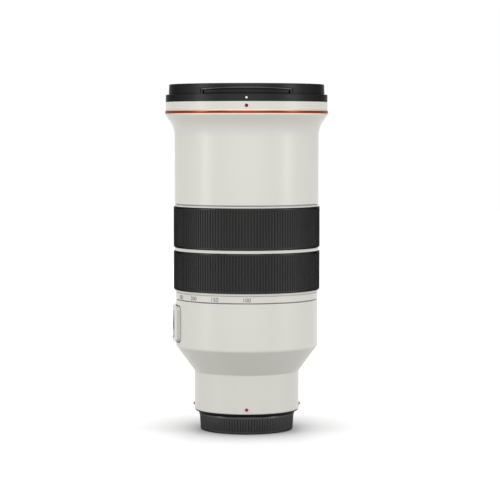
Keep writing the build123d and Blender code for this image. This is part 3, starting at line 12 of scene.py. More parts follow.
import bmesh
import bpy
import numpy as np
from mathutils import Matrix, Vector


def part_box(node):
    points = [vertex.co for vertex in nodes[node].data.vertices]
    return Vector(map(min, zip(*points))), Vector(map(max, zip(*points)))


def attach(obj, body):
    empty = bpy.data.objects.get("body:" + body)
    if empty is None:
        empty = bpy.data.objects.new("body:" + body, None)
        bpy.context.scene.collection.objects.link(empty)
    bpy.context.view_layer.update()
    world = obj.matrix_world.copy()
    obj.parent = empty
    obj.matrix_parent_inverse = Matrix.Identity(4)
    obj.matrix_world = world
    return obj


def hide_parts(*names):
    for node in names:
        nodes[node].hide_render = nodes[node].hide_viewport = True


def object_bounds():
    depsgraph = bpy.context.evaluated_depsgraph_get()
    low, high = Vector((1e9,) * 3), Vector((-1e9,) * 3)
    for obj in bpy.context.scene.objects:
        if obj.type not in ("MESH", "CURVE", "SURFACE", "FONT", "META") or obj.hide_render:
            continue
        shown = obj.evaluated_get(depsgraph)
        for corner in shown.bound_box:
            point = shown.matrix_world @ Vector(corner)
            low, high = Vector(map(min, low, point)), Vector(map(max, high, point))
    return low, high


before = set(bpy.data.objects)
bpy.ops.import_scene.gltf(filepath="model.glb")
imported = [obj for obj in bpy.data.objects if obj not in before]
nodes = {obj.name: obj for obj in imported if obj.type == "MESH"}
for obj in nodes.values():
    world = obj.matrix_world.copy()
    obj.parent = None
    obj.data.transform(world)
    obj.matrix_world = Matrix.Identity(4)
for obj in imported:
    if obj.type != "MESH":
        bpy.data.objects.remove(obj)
cad_low, cad_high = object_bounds()
MM = 0.001
print(f"{len(nodes)} CAD pieces, {cad_high.z / MM:.1f} mm tall")


# %% [markdown]
# Reading sizes from the frame
#
# A new surface has to sit exactly where its CAD piece sits. Rather than typing those numbers again, two
# small readers ask the frame: the lowest and highest level of a node, and its largest radius about the axis.

# %% Two readers of the frame
def heights(node):
    """The lowest and highest level of a CAD node, in mm."""
    low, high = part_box(node)
    return low.z / MM, high.z / MM


def outer_radius(node):
    """The largest radius of a round CAD node about the optical axis, in mm."""
    low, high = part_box(node)
    return max(high.x, high.y) / MM


print("front barrel from", heights("front_barrel"), "radius", round(outer_radius("front_barrel"), 2))


# %% [markdown]
# From a grid of points to a mesh
#
# Every surface here is a grid: rows run along an outline, columns run round the axis. numpy works out all
# the points at once, and the four corners of each face come from the same index arithmetic. foreach_set
# then hands whole arrays to Blender, which is far quicker than adding faces one by one. Where rows shrink
# to a point on the axis, the doubled points are merged, so that a pole is closed.

# %% Grids and faces
def grid_faces(rows, columns, closed_rows=True, closed_columns=True):
    """Corner numbers of the quads between neighbouring rows and columns; a closed way wraps round."""
    row = np.arange(rows if closed_rows else rows - 1)[:, None]
    column = np.arange(columns if closed_columns else columns - 1)[None, :]
    next_row = (row + 1) % rows
    next_column = (column + 1) % columns
    corners = (
        row * columns + column,
        row * columns + next_column,
        next_row * columns + next_column,
        next_row * columns + column,
    )
    return np.stack(corners, axis=-1).reshape(-1, 4)


print("3 rows of 4 points, open both ways, make", len(grid_faces(3, 4, False, False)), "faces")


# %% A mesh from shells
MERGE = 0.001


def mesh_from(name, shells):
    """A mesh of one or more shells, each (points in mm, quads), with its doubled points merged."""
    starts = np.cumsum([0] + [len(points) for points, _ in shells[:-1]])
    points = np.concatenate([points for points, _ in shells]) * MM
    quads = np.concatenate([faces + start for (_, faces), start in zip(shells, starts)])
    mesh = bpy.data.meshes.new(name)
    mesh.vertices.add(len(points))
    mesh.vertices.foreach_set("co", points.ravel())
    mesh.loops.add(quads.size)
    mesh.loops.foreach_set("vertex_index", quads.ravel())
    mesh.polygons.add(len(quads))
    mesh.polygons.foreach_set("loop_start", np.arange(0, quads.size, 4))
    mesh.update(calc_edges=True)
    work = bmesh.new()
    work.from_mesh(mesh)
    bmesh.ops.remove_doubles(work, verts=work.verts, dist=MERGE * MM)
    bmesh.ops.dissolve_degenerate(work, edges=work.edges, dist=MERGE * MM)
    work.to_mesh(mesh)
    work.free()
    return mesh


print("points nearer than", MERGE, "mm are merged")


# %% [markdown]
# From a mesh to a piece of the lens
#
# A piece is a mesh with a finish that rides on a body of the frame, so it moves when that body moves. It
# takes its finish from a material, and hides the CAD nodes that it stands for, if any. Soft shading rounds
# the faces, and edges sharper than a set angle stay crisp.

# %% Pieces
SHARP_ANGLE = 38


def put_in_scene(name, data):
    """A new object with that data, linked into the scene."""
    thing = bpy.data.objects.new(name, data)
    bpy.context.scene.collection.objects.link(thing)
    return thing


def place(name, mesh, material, body, stands_for=()):
    """Puts a finished mesh into the scene, riding on a body and standing for CAD nodes."""
    piece = put_in_scene(name, mesh)
    mesh.materials.append(material)
    mesh.shade_smooth()
    mesh.set_sharp_from_angle(angle=math.radians(SHARP_ANGLE))
    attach(piece, body)
    if stands_for:
        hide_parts(*stands_for)
    print(name, "has", len(mesh.polygons), "faces and rides on", body)


def place_shells(name, shells, material, body, stands_for=()):
    """The same for shells that have no mesh yet."""
    place(name, mesh_from(name, shells), material, body, stands_for)


print("edges stay crisp above", SHARP_ANGLE, "degrees")


# %% [markdown]
# Outlines with broken edges
#
# No machined or moulded edge is truly sharp, and the thin bright line along a rounded edge is what tells
# the eye that a ring is real. An outline is therefore a list of corners, each with its own rounding. The
# arc at a corner touches both sides: its middle lies on the line that halves the corner's angle.

# %% Rounded outlines
ARC_STEPS = 5


def rounded(corners):
    """Points of a closed outline. Each corner is (radius, height, rounding), and a rounding of 0 is sharp.
    The arc starts rounding / tan(half the angle) from the corner, and its centre is rounding / sin(half)
    away on the line that halves the angle."""
    places = np.array([corner[:2] for corner in corners], float)
    points = []
    for i, (_, _, rounding) in enumerate(corners):
        here = places[i]
        if rounding == 0:
            points.append(here[None])
            continue
        back = places[i - 1] - here
        ahead = places[(i + 1) % len(places)] - here
        back /= np.linalg.norm(back)
        ahead /= np.linalg.norm(ahead)
        half = math.acos(np.clip(back @ ahead, -1, 1)) / 2
        middle = (back + ahead) / np.linalg.norm(back + ahead)
        centre = here + middle * rounding / math.sin(half)
        first = here + back * rounding / math.tan(half) - centre
        last = here + ahead * rounding / math.tan(half) - centre
        sweep = math.pi - 2 * half
        share = np.linspace(0, 1, ARC_STEPS + 1)[:, None]
        swing = np.sin((1 - share) * sweep) * first + np.sin(share * sweep) * last
        points.append(centre + swing / math.sin(sweep))
    return np.concatenate(points)


soft_corner = rounded([(1, 0, 0.2), (2, 0, 0), (2, 1, 0), (1, 1, 0)])
print("a square with one rounded corner has", len(soft_corner), "points")


# %% An outline carried round the axis
def revolve(outline, columns, relief=None, closed=True):
    """A shell: the outline (radius, height) carried round the axis. relief(angle, radius, height) is added
    to the radius, and may change with all three. The outline runs up the outer wall, so faces point out.
    An outline that starts and ends on the axis isn't closed."""
    angle = np.linspace(0, 2 * np.pi, columns, endpoint=False)[None, :]
    radius = outline[:, :1] + np.zeros_like(angle)
    height = outline[:, 1:] + np.zeros_like(angle)
    if relief:
        radius = radius + relief(angle, radius, height)
    points = np.stack((radius * np.cos(angle), radius * np.sin(angle), height), axis=-1)
    return points.reshape(-1, 3), grid_faces(len(outline), columns, closed_rows=closed)


print("carried round in 12 columns, it has", len(revolve(soft_corner, 12)[1]), "faces")


# %% [markdown]
# Shared effects as node groups
#
# Paint, rubber and plastic all have some grain, and several metal pieces show the fine rings that a lathe
# tool leaves. Each effect is a node group with named inputs, built once, and every material sets its own
# values. The groups read Object coordinates: all pieces share one origin, so a pattern keeps its real scale
# from piece to piece, and stays put on a piece that moves.

# %% A node group from its formula
def socket_kind(label):
    """A socket called Color holds a colour, and any other a number."""
    return "NodeSocketColor" if label == "Color" else "NodeSocketFloat"


def build_group(name, inputs, outputs, formula):
    """A shader node group with named sockets: inputs is {name: first value}, and outputs is a list of names.
    formula(tree, given) places the nodes between them, and gives back {output name: socket}."""
    group = bpy.data.node_groups.new(name, "ShaderNodeTree")
    for label, value in inputs.items():
        socket = group.interface.new_socket(label, in_out="INPUT", socket_type=socket_kind(label))
        socket.default_value = value
    for label in outputs:
        group.interface.new_socket(label, in_out="OUTPUT", socket_type=socket_kind(label))
    given = group.nodes.new("NodeGroupInput").outputs
    result = group.nodes.new("NodeGroupOutput").inputs
    for label, socket in formula(group, given).items():
        group.links.new(socket, result[label])
    print("the group", name, "has", len(group.nodes), "nodes")
    return group


print("Color is a", socket_kind("Color"), "and Size a", socket_kind("Size"))


# %% Setting sockets and doing arithmetic on them
def set_sockets(node, values):
    """Sets a node's inputs by their names."""
    for label, value in values.items():
        node.inputs[label].default_value = value


def math_node(tree, operation, first, second=0.0, third=0.0):
    """A Math node whose inputs are numbers or sockets; gives back its output socket."""
    node = tree.nodes.new("ShaderNodeMath")
    node.operation = operation
    for slot, value in zip(node.inputs, (first, second, third)):
        if isinstance(value, bpy.types.NodeSocket):
            tree.links.new(value, slot)
        else:
            slot.default_value = value
    return node.outputs[0]


def clamped(tree, value):
    """The value, held between 0 and 1."""
    return math_node(tree, "MINIMUM", math_node(tree, "MAXIMUM", value, 0.0), 1.0)


def in_mm(tree, metres):
    """A length in mm."""
    return math_node(tree, "DIVIDE", metres, MM)


def scaled_colour(tree, colour, level):
    """A colour multiplied by a level."""
    tint = tree.nodes.new("ShaderNodeVectorMath")
    tint.operation = "SCALE"
    tree.links.new(colour, tint.inputs[0])
    tree.links.new(level, tint.inputs["Scale"])
    return tint.outputs[0]


print("arithmetic is done by Math nodes, and 1 m is", 1 / MM, "mm")


# %% Where a shading point lies
def split(tree, vector):
    """The x, y and z sockets of a vector."""
    node = tree.nodes.new("ShaderNodeSeparateXYZ")
    tree.links.new(vector, node.inputs[0])
    return node.outputs


def point(tree, kind="Object"):
    """The Object coordinates of a shading point, in metres, or its Normal."""
    return tree.nodes.new("ShaderNodeTexCoord").outputs[kind]


def axis_distance(tree):
    """The distance of a shading point from the optical axis: the root of x * x + y * y."""
    x, y, _ = split(tree, point(tree))
    squares = math_node(tree, "ADD", math_node(tree, "MULTIPLY", x, x), math_node(tree, "MULTIPLY", y, y))
    return math_node(tree, "SQRT", squares)


def noise(tree, size, detail):
    """Noise, and the same noise less its middle value. Its lumps are about as wide as size, in mm."""
    node = tree.nodes.new("ShaderNodeTexNoise")
    set_sockets(node, {"Detail": detail})
    tree.links.new(point(tree), node.inputs["Vector"])
    tree.links.new(math_node(tree, "DIVIDE", 1 / MM, size), node.inputs["Scale"])
    return node.outputs["Fac"], math_node(tree, "SUBTRACT", node.outputs["Fac"], 0.5)


print("patterns read Object coordinates, in metres")


# %% [markdown]
# Grain, mottle and tool rings
#
# Grain is fine noise round a middle value, for bumps and for roughness that isn't quite even. Mottle
# changes a colour by a percent or two in soft clouds, as sprayed enamel and moulded rubber do. Tool rings
# turn the distance from the axis, plus the height, into fine ridges, which is what a lathe leaves on faces
# and walls. Painted crown light lightens a colour towards the crowns of ribs: a painted highlight on the
# crowns, which leaves the valleys darker as painted shade. Inward face is 1 on walls that look at the axis,
# so that a barrel can be white outside and black inside.

# %% Grain and mottle
GREY = (0.5, 0.5, 0.5, 1.0)
GRAIN_DETAIL = 3.0
MOTTLE_DETAIL = 2.0


def grain_nodes(tree, given):
    """Height is noise, and Value is Base plus Spread times the noise about its middle."""
    height, swing = noise(tree, given["Size"], GRAIN_DETAIL)
    value = math_node(tree, "MULTIPLY_ADD", swing, given["Spread"], given["Base"])
    return {"Height": height, "Value": value}


def mottle_nodes(tree, given):
    """The colour times 1 plus Amount times the noise about its middle."""
    _, swing = noise(tree, given["Size"], MOTTLE_DETAIL)
    level = math_node(tree, "MULTIPLY_ADD", swing, given["Amount"], 1.0)
    return {"Color": scaled_colour(tree, given["Color"], level)}


GRAIN = build_group("grain", {"Size": 1.0, "Base": 0.5, "Spread": 0.1}, ["Height", "Value"], grain_nodes)
MOTTLE = build_group("mottle", {"Color": GREY, "Amount": 0.03, "Size": 20.0}, ["Color"], mottle_nodes)


# %% Tool rings and painted crown light
CROWN_LIGHT_POWER = 4.0


def tool_ring_nodes(tree, given):
    """The sine of distance plus height, one wave for each Pitch."""
    walk = math_node(tree, "ADD", axis_distance(tree), split(tree, point(tree))["Z"])
    turns = math_node(tree, "DIVIDE", walk, math_node(tree, "MULTIPLY", given["Pitch"], MM))
    return {"Height": math_node(tree, "SINE", math_node(tree, "MULTIPLY", turns, 2 * math.pi))}


def painted_crown_light_nodes(tree, given):
    """Painted highlight: the colour times 1 plus Lift times the fourth power of the way from Root to Crown.
    """
    above = math_node(tree, "SUBTRACT", in_mm(tree, axis_distance(tree)), given["Root"])
    span = math_node(tree, "SUBTRACT", given["Crown"], given["Root"])
    share = clamped(tree, math_node(tree, "DIVIDE", above, span))
    shade = math_node(tree, "POWER", share, CROWN_LIGHT_POWER)
    level = math_node(tree, "MULTIPLY_ADD", shade, given["Lift"], 1.0)
    return {"Color": scaled_colour(tree, given["Color"], level)}


CROWN_LIGHT_INPUTS = {"Color": GREY, "Root": 51.0, "Crown": 52.0, "Lift": 1.5}
TOOL_RINGS = build_group("tool rings", {"Pitch": 0.2}, ["Height"], tool_ring_nodes)
PAINTED_CROWN_LIGHT = build_group("painted crown light", CROWN_LIGHT_INPUTS, ["Color"], painted_crown_light_nodes)


# %% Inward face
INWARD_SLOPE = 3.0


def inward_face_nodes(tree, _):
    """The part of the normal that points to the axis, times INWARD_SLOPE and held between 0 and 1."""
    x, y, _ = split(tree, point(tree))
    normal = split(tree, point(tree, "Normal"))
    across = math_node(tree, "MULTIPLY", x, normal["X"])
    along = math_node(tree, "MULTIPLY", y, normal["Y"])
    outward = math_node(tree, "DIVIDE", math_node(tree, "ADD", across, along), axis_distance(tree))
    return {"Mask": clamped(tree, math_node(tree, "MULTIPLY", outward, -INWARD_SLOPE))}


INWARD_FACE = build_group("inward face", {}, ["Mask"], inward_face_nodes)


# %% [markdown]
# One pattern for a finish
#
# A piece that needs more gets it from one of the helpers after it.

# %% Materials, groups and bumps
def new_material(name):
    """A material with nodes, its node tree and its Principled shader."""
    material = bpy.data.materials.new(name)
    material.use_nodes = True
    return material, material.node_tree, material.node_tree.nodes["Principled BSDF"]


def use_group(tree, group, values):
    """Places a node group in a material's tree with its own values; gives back its node."""
    node = tree.nodes.new("ShaderNodeGroup")
    node.node_tree = group
    set_sockets(node, values)
    return node


def add_bump(tree, height, strength, depth_mm):
    """A Bump node fed by a height."""
    bump = tree.nodes.new("ShaderNodeBump")
    set_sockets(bump, {"Strength": strength, "Distance": depth_mm * MM})
    tree.links.new(height, bump.inputs["Height"])
    return bump


print("Blender has", len(bpy.data.materials), "materials before the first finish")


# %% A finish with grain and mottle
ROUGHNESS_SPREAD = 0.35
GRAIN_STRENGTH = 0.6


def finish(name, colour, roughness, grain_mm, depth_mm, metallic=0.0, specular=0.5, mottle=0.03, edge=1.0):
    """A Principled material whose colour drifts softly and whose roughness and surface carry a fine grain.
    On a metal, edge is the grey that it reflects at a glancing angle."""
    material, tree, shader = new_material(name)
    set_sockets(shader, {
        "Metallic": metallic,
        "Specular IOR Level": specular,
        "Specular Tint": (edge, edge, edge, 1.0),
    })
    spread = roughness * ROUGHNESS_SPREAD
    grain = use_group(tree, GRAIN, {"Size": grain_mm, "Base": roughness, "Spread": spread})
    clouds = use_group(tree, MOTTLE, {"Color": (*colour, 1.0), "Amount": mottle})
    bump = add_bump(tree, grain.outputs["Height"], GRAIN_STRENGTH, depth_mm)
    tree.links.new(grain.outputs["Value"], shader.inputs["Roughness"])
    tree.links.new(clouds.outputs["Color"], shader.inputs["Base Color"])
    tree.links.new(bump.outputs["Normal"], shader.inputs["Normal"])
    return material


print("a finish has", GRAIN.name, "and", MOTTLE.name)


# %% Additions to a finish
# A Mix node has sockets of one name for each kind of data; these are the numbers of its colour sockets
MIX_FIRST = 6
MIX_SECOND = 7
MIX_RESULT = 2
RING_STRENGTH = 0.5


def mix_into_colour(material, mask, colour):
    """Mixes a second colour into a finish where the mask is 1."""
    tree = material.node_tree
    base = tree.nodes["Principled BSDF"].inputs["Base Color"]
    mix = tree.nodes.new("ShaderNodeMix")
    mix.data_type = "RGBA"
    tree.links.new(mask, mix.inputs["Factor"])
    tree.links.new(base.links[0].from_socket, mix.inputs[MIX_FIRST])
    mix.inputs[MIX_SECOND].default_value = (*colour, 1)
    tree.links.new(mix.outputs[MIX_RESULT], base)


def add_painted_crown_light(material, root_mm, crown_mm, lift):
    """Paints a highlight on the crowns of ribs: it goes between the mottle and the shader."""
    tree = material.node_tree
    base = tree.nodes["Principled BSDF"].inputs["Base Color"]
    shade = use_group(tree, PAINTED_CROWN_LIGHT, {"Root": root_mm, "Crown": crown_mm, "Lift": lift})
    tree.links.new(base.links[0].from_socket, shade.inputs["Color"])
    tree.links.new(shade.outputs["Color"], base)


def add_tool_rings(material, pitch_mm, depth_mm):
    """Lays the lathe's fine rings under the grain of a finish."""
    tree = material.node_tree
    grain_bump = tree.nodes["Bump"]
    rings = use_group(tree, TOOL_RINGS, {"Pitch": pitch_mm})
    ring_bump = add_bump(tree, rings.outputs["Height"], RING_STRENGTH, depth_mm)
    tree.links.new(ring_bump.outputs["Normal"], grain_bump.inputs["Normal"])


print("additions: a second colour, painted crown light and tool rings")


# %% [markdown]
# The finishes of the lens
#
# The barrels are aluminium under a warm light grey enamel with a satin skin: its highlights are broad, so
# the roughness is about a third, and its orange peel is a few thousandths of a millimetre deep. Inside they
# are black against stray light. Black pieces are dull: what they show is a dim, blurred image of the lamps
# and hardly any colour of their own. A dark metallic shader does that, and its edge value holds back the
# white that a smooth surface would show at a glancing angle. The rubbers and caps get a painted highlight,
# a lighter colour, on the crowns of their ribs.

# %% Outer finishes
INSIDE_BLACK = (0.012, 0.012, 0.012)
CAP_BLACK = (0.021, 0.021, 0.0208)


def enamel(name):
    """The barrels' warm grey enamel."""
    return finish(name, (0.700, 0.690, 0.635), 0.33, 0.9, 0.004, specular=0.45, mottle=0.015)


def dull_black(name, colour, roughness, grain_mm=0.22, edge=0.45, mottle=0.1):
    """Black plastic, rubber or anodised metal, which shows only a dim image of the lamps."""
    return finish(name, colour, roughness, grain_mm, 0.01, metallic=1.0, edge=edge, mottle=mottle)


ENAMEL = enamel("warm grey enamel")
inside = use_group(ENAMEL.node_tree, INWARD_FACE, {})
mix_into_colour(ENAMEL, inside.outputs["Mask"], INSIDE_BLACK)
RUBBER = dull_black("ribbed rubber", (0.0165, 0.0165, 0.0163), 0.31, grain_mm=0.25, edge=0.35, mottle=0.15)
# The rubber's rib crowns get a painted highlight
add_painted_crown_light(RUBBER, root_mm=51.6, crown_mm=52.2, lift=0.9)
CAP_PLASTIC = dull_black("grained cap plastic", CAP_BLACK, 0.37)
REAR_PLASTIC = dull_black("ribbed cap plastic", (0.049, 0.049, 0.0488), 0.27)
# The rear cap's rib crowns and rim get a painted highlight
add_painted_crown_light(REAR_PLASTIC, root_mm=32.6, crown_mm=33.7, lift=0.4)
BLACK_METAL = dull_black("black anodised metal", (0.0215, 0.0215, 0.021), 0.36, grain_mm=0.2)
add_tool_rings(BLACK_METAL, pitch_mm=0.12, depth_mm=0.004)
KNOB_PLASTIC = finish("dark knob plastic", (0.055, 0.055, 0.055), 0.5, 0.2, 0.02, specular=0.3, mottle=0.1)
SEAL_RUBBER = finish("smooth seal rubber", (0.010, 0.010, 0.010), 0.6, 0.3, 0.01, specular=0.1, mottle=0.1)
# A dark finish for the band of painted shadow round the switch panel
SHADOW_BAND_FINISH = finish("dark band of painted shadow", (0.075, 0.075, 0.073), 0.6, 0.3, 0.01, specular=0.2, mottle=0.1)
PRINT_INK = finish("dark grey ink", (0.075, 0.075, 0.075), 0.6, 0.2, 0.002, specular=0.3, mottle=0.2)
WHITE_INK = finish("white index ink", (0.93, 0.93, 0.92), 0.5, 0.2, 0.002, specular=0.3, mottle=0.02)
print(len(bpy.data.materials), "materials so far, with those of the CAD model")


# %% [markdown]
# Colour that shines
#
# The accent ring is anodised aluminium: metallic, smooth, and deep orange-red. Its rounded edges would
# reflect the lamps and the floor, so a painted reflection is mixed into its colour by a mask on the height:
# deep in the middle of the ring and pale near each edge. The index dots are small beads of plain dark red.

# %% Accent and dot finishes
ACCENT_SHIFT = 0.05


def painted_edge_sheen_nodes(tree, given):
    """0 up to Half away from the Middle height, rising to 1 over the next Blur."""
    level = in_mm(tree, split(tree, point(tree))["Z"])
    away = math_node(tree, "ABSOLUTE", math_node(tree, "SUBTRACT", level, given["Middle"]))
    past = math_node(tree, "SUBTRACT", away, given["Half"])
    return {"Mask": clamped(tree, math_node(tree, "DIVIDE", past, given["Blur"]))}


EDGE_SHEEN_INPUTS = {"Middle": 0.0, "Half": 1.0, "Blur": 0.3}
PAINTED_EDGE_SHEEN = build_group("painted edge sheen", EDGE_SHEEN_INPUTS, ["Mask"], painted_edge_sheen_nodes)
ACCENT = finish("orange-red anodised ring", (0.185, 0.038, 0.015), 0.30, 0.3, 0.001, metallic=1.0, edge=0.6)
accent_middle = sum(heights("accent_ring")) / 2 + ACCENT_SHIFT
# A painted reflection: the accent ring turns pale near each edge
edge_sheen = use_group(ACCENT.node_tree, PAINTED_EDGE_SHEEN, {"Middle": accent_middle, "Half": 0.75, "Blur": 0.42})
mix_into_colour(ACCENT, edge_sheen.outputs["Mask"], (0.95, 0.68, 0.55))
RED_BEAD = finish("dark red bead", (0.20, 0.004, 0.005), 0.35, 0.3, 0.002, specular=0.1)
INDEX_RED = finish("red index bead", (0.33, 0.014, 0.012), 0.35, 0.3, 0.002, specular=0.2)
print("the accent ring is deepest at", round(accent_middle, 2))


# %% [markdown]
# The windows of the front cap
#
# Above each pinch tab the cap's wall ends in an arched edge, and the tab's lip sits back under it with an
# open slit at each end. The arch is a parabola, so one group can give how far a point lies above it. A
# narrow band above the arch takes a painted highlight, as of the edge catching the light, and the next one
# a painted shadow line. The tabs are a darker plastic as painted shade, with a painted highlight along their
# ridge, and go black as painted shadow where they meet the slits.

# %% The arch mask
def arch_edge_nodes(tree, given):
    """1 on an arch raised by Lift, falling to 0 at Reach from it, and 0 beyond Half to the sides or inside
    the radius Wall. The arch is Middle less (Middle - End) times the square of x / Half."""
    x, _, z = split(tree, point(tree))
    sideways = math_node(tree, "DIVIDE", in_mm(tree, x), given["Half"])
    drop = math_node(tree, "SUBTRACT", given["Middle"], given["End"])
    fall = math_node(tree, "MULTIPLY", drop, math_node(tree, "MULTIPLY", sideways, sideways))
    arch = math_node(tree, "SUBTRACT", given["Middle"], fall)
    above = math_node(tree, "SUBTRACT", math_node(tree, "SUBTRACT", in_mm(tree, z), arch), given["Lift"])
    share = math_node(tree, "DIVIDE", math_node(tree, "ABSOLUTE", above), given["Reach"])
    band = math_node(tree, "MAXIMUM", math_node(tree, "SUBTRACT", 1.0, share), 0.0)
    within = math_node(tree, "LESS_THAN", math_node(tree, "ABSOLUTE", sideways), 1.0)
    outside = math_node(tree, "GREATER_THAN", in_mm(tree, axis_distance(tree)), given["Wall"])
    return {"Mask": math_node(tree, "MULTIPLY", band, math_node(tree, "MULTIPLY", within, outside))}


ARCH_INPUTS = {"End": 1.0, "Middle": 2.0, "Half": 10.0, "Lift": 0.3, "Reach": 0.3, "Wall": 50.0}
ARCH_EDGE = build_group("arched edge", ARCH_INPUTS, ["Mask"], arch_edge_nodes)


# %% Painted highlight, painted shadow line and tab lips
CAP_WALL = 1.5
WINDOW_PLAY = 0.3
SLIT_SHADOW_WIDTH = 0.8
SLIT_PAINTED_SHADOW = (0.0005, 0.0005, 0.0005)
# How far the ends and the middle of an arch lie below the cap's face
WINDOW_DROPS = (4.3, 3.3)
RIDGE_DROPS = (5.5, 5.4)
cap_face = heights("front_cap")[1]
tab_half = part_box("front_cap_tab_front")[1].x / MM


def painted_arch_band(material, drops, lift_mm, reach_mm, colour):
    """Mixes a colour into a cap finish in a band over an arch, as painted highlight or painted shadow."""
    edge = use_group(material.node_tree, ARCH_EDGE, {
        "End": cap_face - drops[0],
        "Middle": cap_face - drops[1],
        "Half": tab_half + WINDOW_PLAY,
        "Lift": lift_mm,
        "Reach": reach_mm,
        "Wall": outer_radius("front_cap") - CAP_WALL,
    })
    mix_into_colour(material, edge.outputs["Mask"], colour)


FRONT_CAP = dull_black("front cap plastic", CAP_BLACK, 0.37)
# Painted highlight along the edge above each window
painted_arch_band(FRONT_CAP, WINDOW_DROPS, lift_mm=0.45, reach_mm=0.45, colour=(0.075, 0.075, 0.074))
# Painted shadow line just above that highlight
painted_arch_band(FRONT_CAP, WINDOW_DROPS, lift_mm=1.20, reach_mm=0.35, colour=(0.008, 0.008, 0.008))
# The tabs' darker colour is painted shade
TAB_PLASTIC_IN_PAINTED_SHADE = dull_black("tab plastic in painted shade", (0.0125, 0.0125, 0.0124), 0.40)
# Painted highlight along the tabs' ridge
painted_arch_band(TAB_PLASTIC_IN_PAINTED_SHADE, RIDGE_DROPS, lift_mm=0.0, reach_mm=0.45, colour=(0.030, 0.030, 0.030))
tab_tree = TAB_PLASTIC_IN_PAINTED_SHADE.node_tree
# Painted shadow: each end of a tab goes black where it meets the slit
tab_side = math_node(tab_tree, "ABSOLUTE", split(tab_tree, point(tab_tree))["X"])
slit_shadow = math_node(tab_tree, "GREATER_THAN", tab_side, (tab_half - SLIT_SHADOW_WIDTH) * MM)
mix_into_colour(TAB_PLASTIC_IN_PAINTED_SHADE, slit_shadow, SLIT_PAINTED_SHADOW)
print("the windows are", 2 * round(tab_half + WINDOW_PLAY, 1), "mm wide")


# %% [markdown]
# The sunk field of the switch panel
#
# The panel is enamelled, but the shallow field that the three knobs slide in is filled with dark grey
# paint, and its side walls get painted shade, a darker grey than its face. Neither needs a new surface:
# every point that lies deeper than the panel's face is field if it is inside the field's rectangle, and
# wall if it isn't.

# %% Field mask and panel finish
FIELD_WIDTH = 29.2
FIELD_LENGTH = 19.8
FIELD_MARGIN = 0.05
# Just below the panel's face
FIELD_RADIUS = 53.2
panel_low, panel_high = heights("switch_panel")
panel_middle = (panel_low + panel_high) / 2


def sunk_field_nodes(tree, given):
    """A point nearer the axis than Radius is deep. Field is 1 on deep points inside the rectangle, and Wall
    is 1 on deep points outside it."""
    _, y, z = split(tree, point(tree))
    level = in_mm(tree, z)
    deep = math_node(tree, "LESS_THAN", in_mm(tree, axis_distance(tree)), given["Radius"])
    sideways = math_node(tree, "ABSOLUTE", in_mm(tree, y))
    within = math_node(tree, "LESS_THAN", sideways, given["Half width"])
    over = math_node(tree, "GREATER_THAN", level, given["Low"])
    under = math_node(tree, "LESS_THAN", level, given["High"])
    inside = math_node(tree, "MULTIPLY", within, math_node(tree, "MULTIPLY", over, under))
    outside = math_node(tree, "SUBTRACT", 1.0, inside)
    return {
        "Field": math_node(tree, "MULTIPLY", deep, inside),
        "Wall": math_node(tree, "MULTIPLY", deep, outside),
    }


FIELD_INPUTS = {"Radius": 53.0, "Half width": 10.0, "Low": 0.0, "High": 1.0}
SUNK_FIELD = build_group("sunk field", FIELD_INPUTS, ["Field", "Wall"], sunk_field_nodes)
PANEL_ENAMEL = enamel("enamel with a filled field")
field = use_group(PANEL_ENAMEL.node_tree, SUNK_FIELD, {
    "Radius": FIELD_RADIUS,
    "Half width": FIELD_WIDTH / 2 + FIELD_MARGIN,
    "Low": panel_middle - FIELD_LENGTH / 2 - FIELD_MARGIN,
    "High": panel_middle + FIELD_LENGTH / 2 + FIELD_MARGIN,
})
mix_into_colour(PANEL_ENAMEL, field.outputs["Field"], (0.15, 0.15, 0.146))
# Painted shade on the panel's side walls
mix_into_colour(PANEL_ENAMEL, field.outputs["Wall"], (0.53, 0.525, 0.49))
print("the panel's field is", FIELD_WIDTH, "by", FIELD_LENGTH, "mm about", round(panel_middle, 1))


# %% [markdown]
# Metals, copper and glass of the inside
#
# The inside shows when a cap is off or a piece is taken out. The bayonet is bright turned metal, so it gets
# tool rings a fifth of a millimetre apart. Rods and pins are ground, which is finer. Coils are copper wire
# under varnish. The glass is a clear shader with its own transmission. Anti-reflex layers leave only a
# faint reflection, green on the front glass and violet further in, so the reflection is cut down and
# tinted. The glass takes a third of the light at each face, which stands for the black paint on the rims
# of real lenses.

# %% Inner finishes
COATED_REFLECTION = 0.12
MOUNT_METAL = finish("turned mount metal", (0.63, 0.62, 0.60), 0.28, 0.4, 0.002, metallic=1.0)
add_tool_rings(MOUNT_METAL, pitch_mm=0.2, depth_mm=0.006)
STEEL = finish("ground steel", (0.58, 0.58, 0.57), 0.24, 0.15, 0.002, metallic=1.0)
MOTOR_METAL = finish("motor ceramic and steel", (0.36, 0.36, 0.38), 0.4, 0.3, 0.01, metallic=0.7)
COPPER = finish("varnished copper", (0.66, 0.30, 0.13), 0.32, 0.2, 0.01, metallic=1.0)
add_tool_rings(COPPER, pitch_mm=0.25, depth_mm=0.05)
set_sockets(COPPER.node_tree.nodes["Principled BSDF"], {"Coat Weight": 0.5, "Coat Roughness": 0.15})
GOLD = finish("gold plating", (0.83, 0.61, 0.24), 0.22, 0.15, 0.002, metallic=1.0)
BLADE_BLACK = finish("coated blade steel", (0.022, 0.022, 0.023), 0.5, 0.3, 0.002, metallic=0.4)
BOARD = finish("green circuit board", (0.020, 0.095, 0.045), 0.4, 0.5, 0.01, mottle=0.5)


def coated_glass(name, tint, reflection_tint):
    """Clear optical glass whose faint reflection has the colour of its anti-reflex coat."""
    material, _, shader = new_material(name)
    set_sockets(shader, {
        "Base Color": (*tint, 1.0),
        "Roughness": 0.01,
        "IOR": 1.52,
        "Transmission Weight": 1.0,
        "Specular IOR Level": COATED_REFLECTION,
        "Specular Tint": (*reflection_tint, 1.0),
    })
    return material


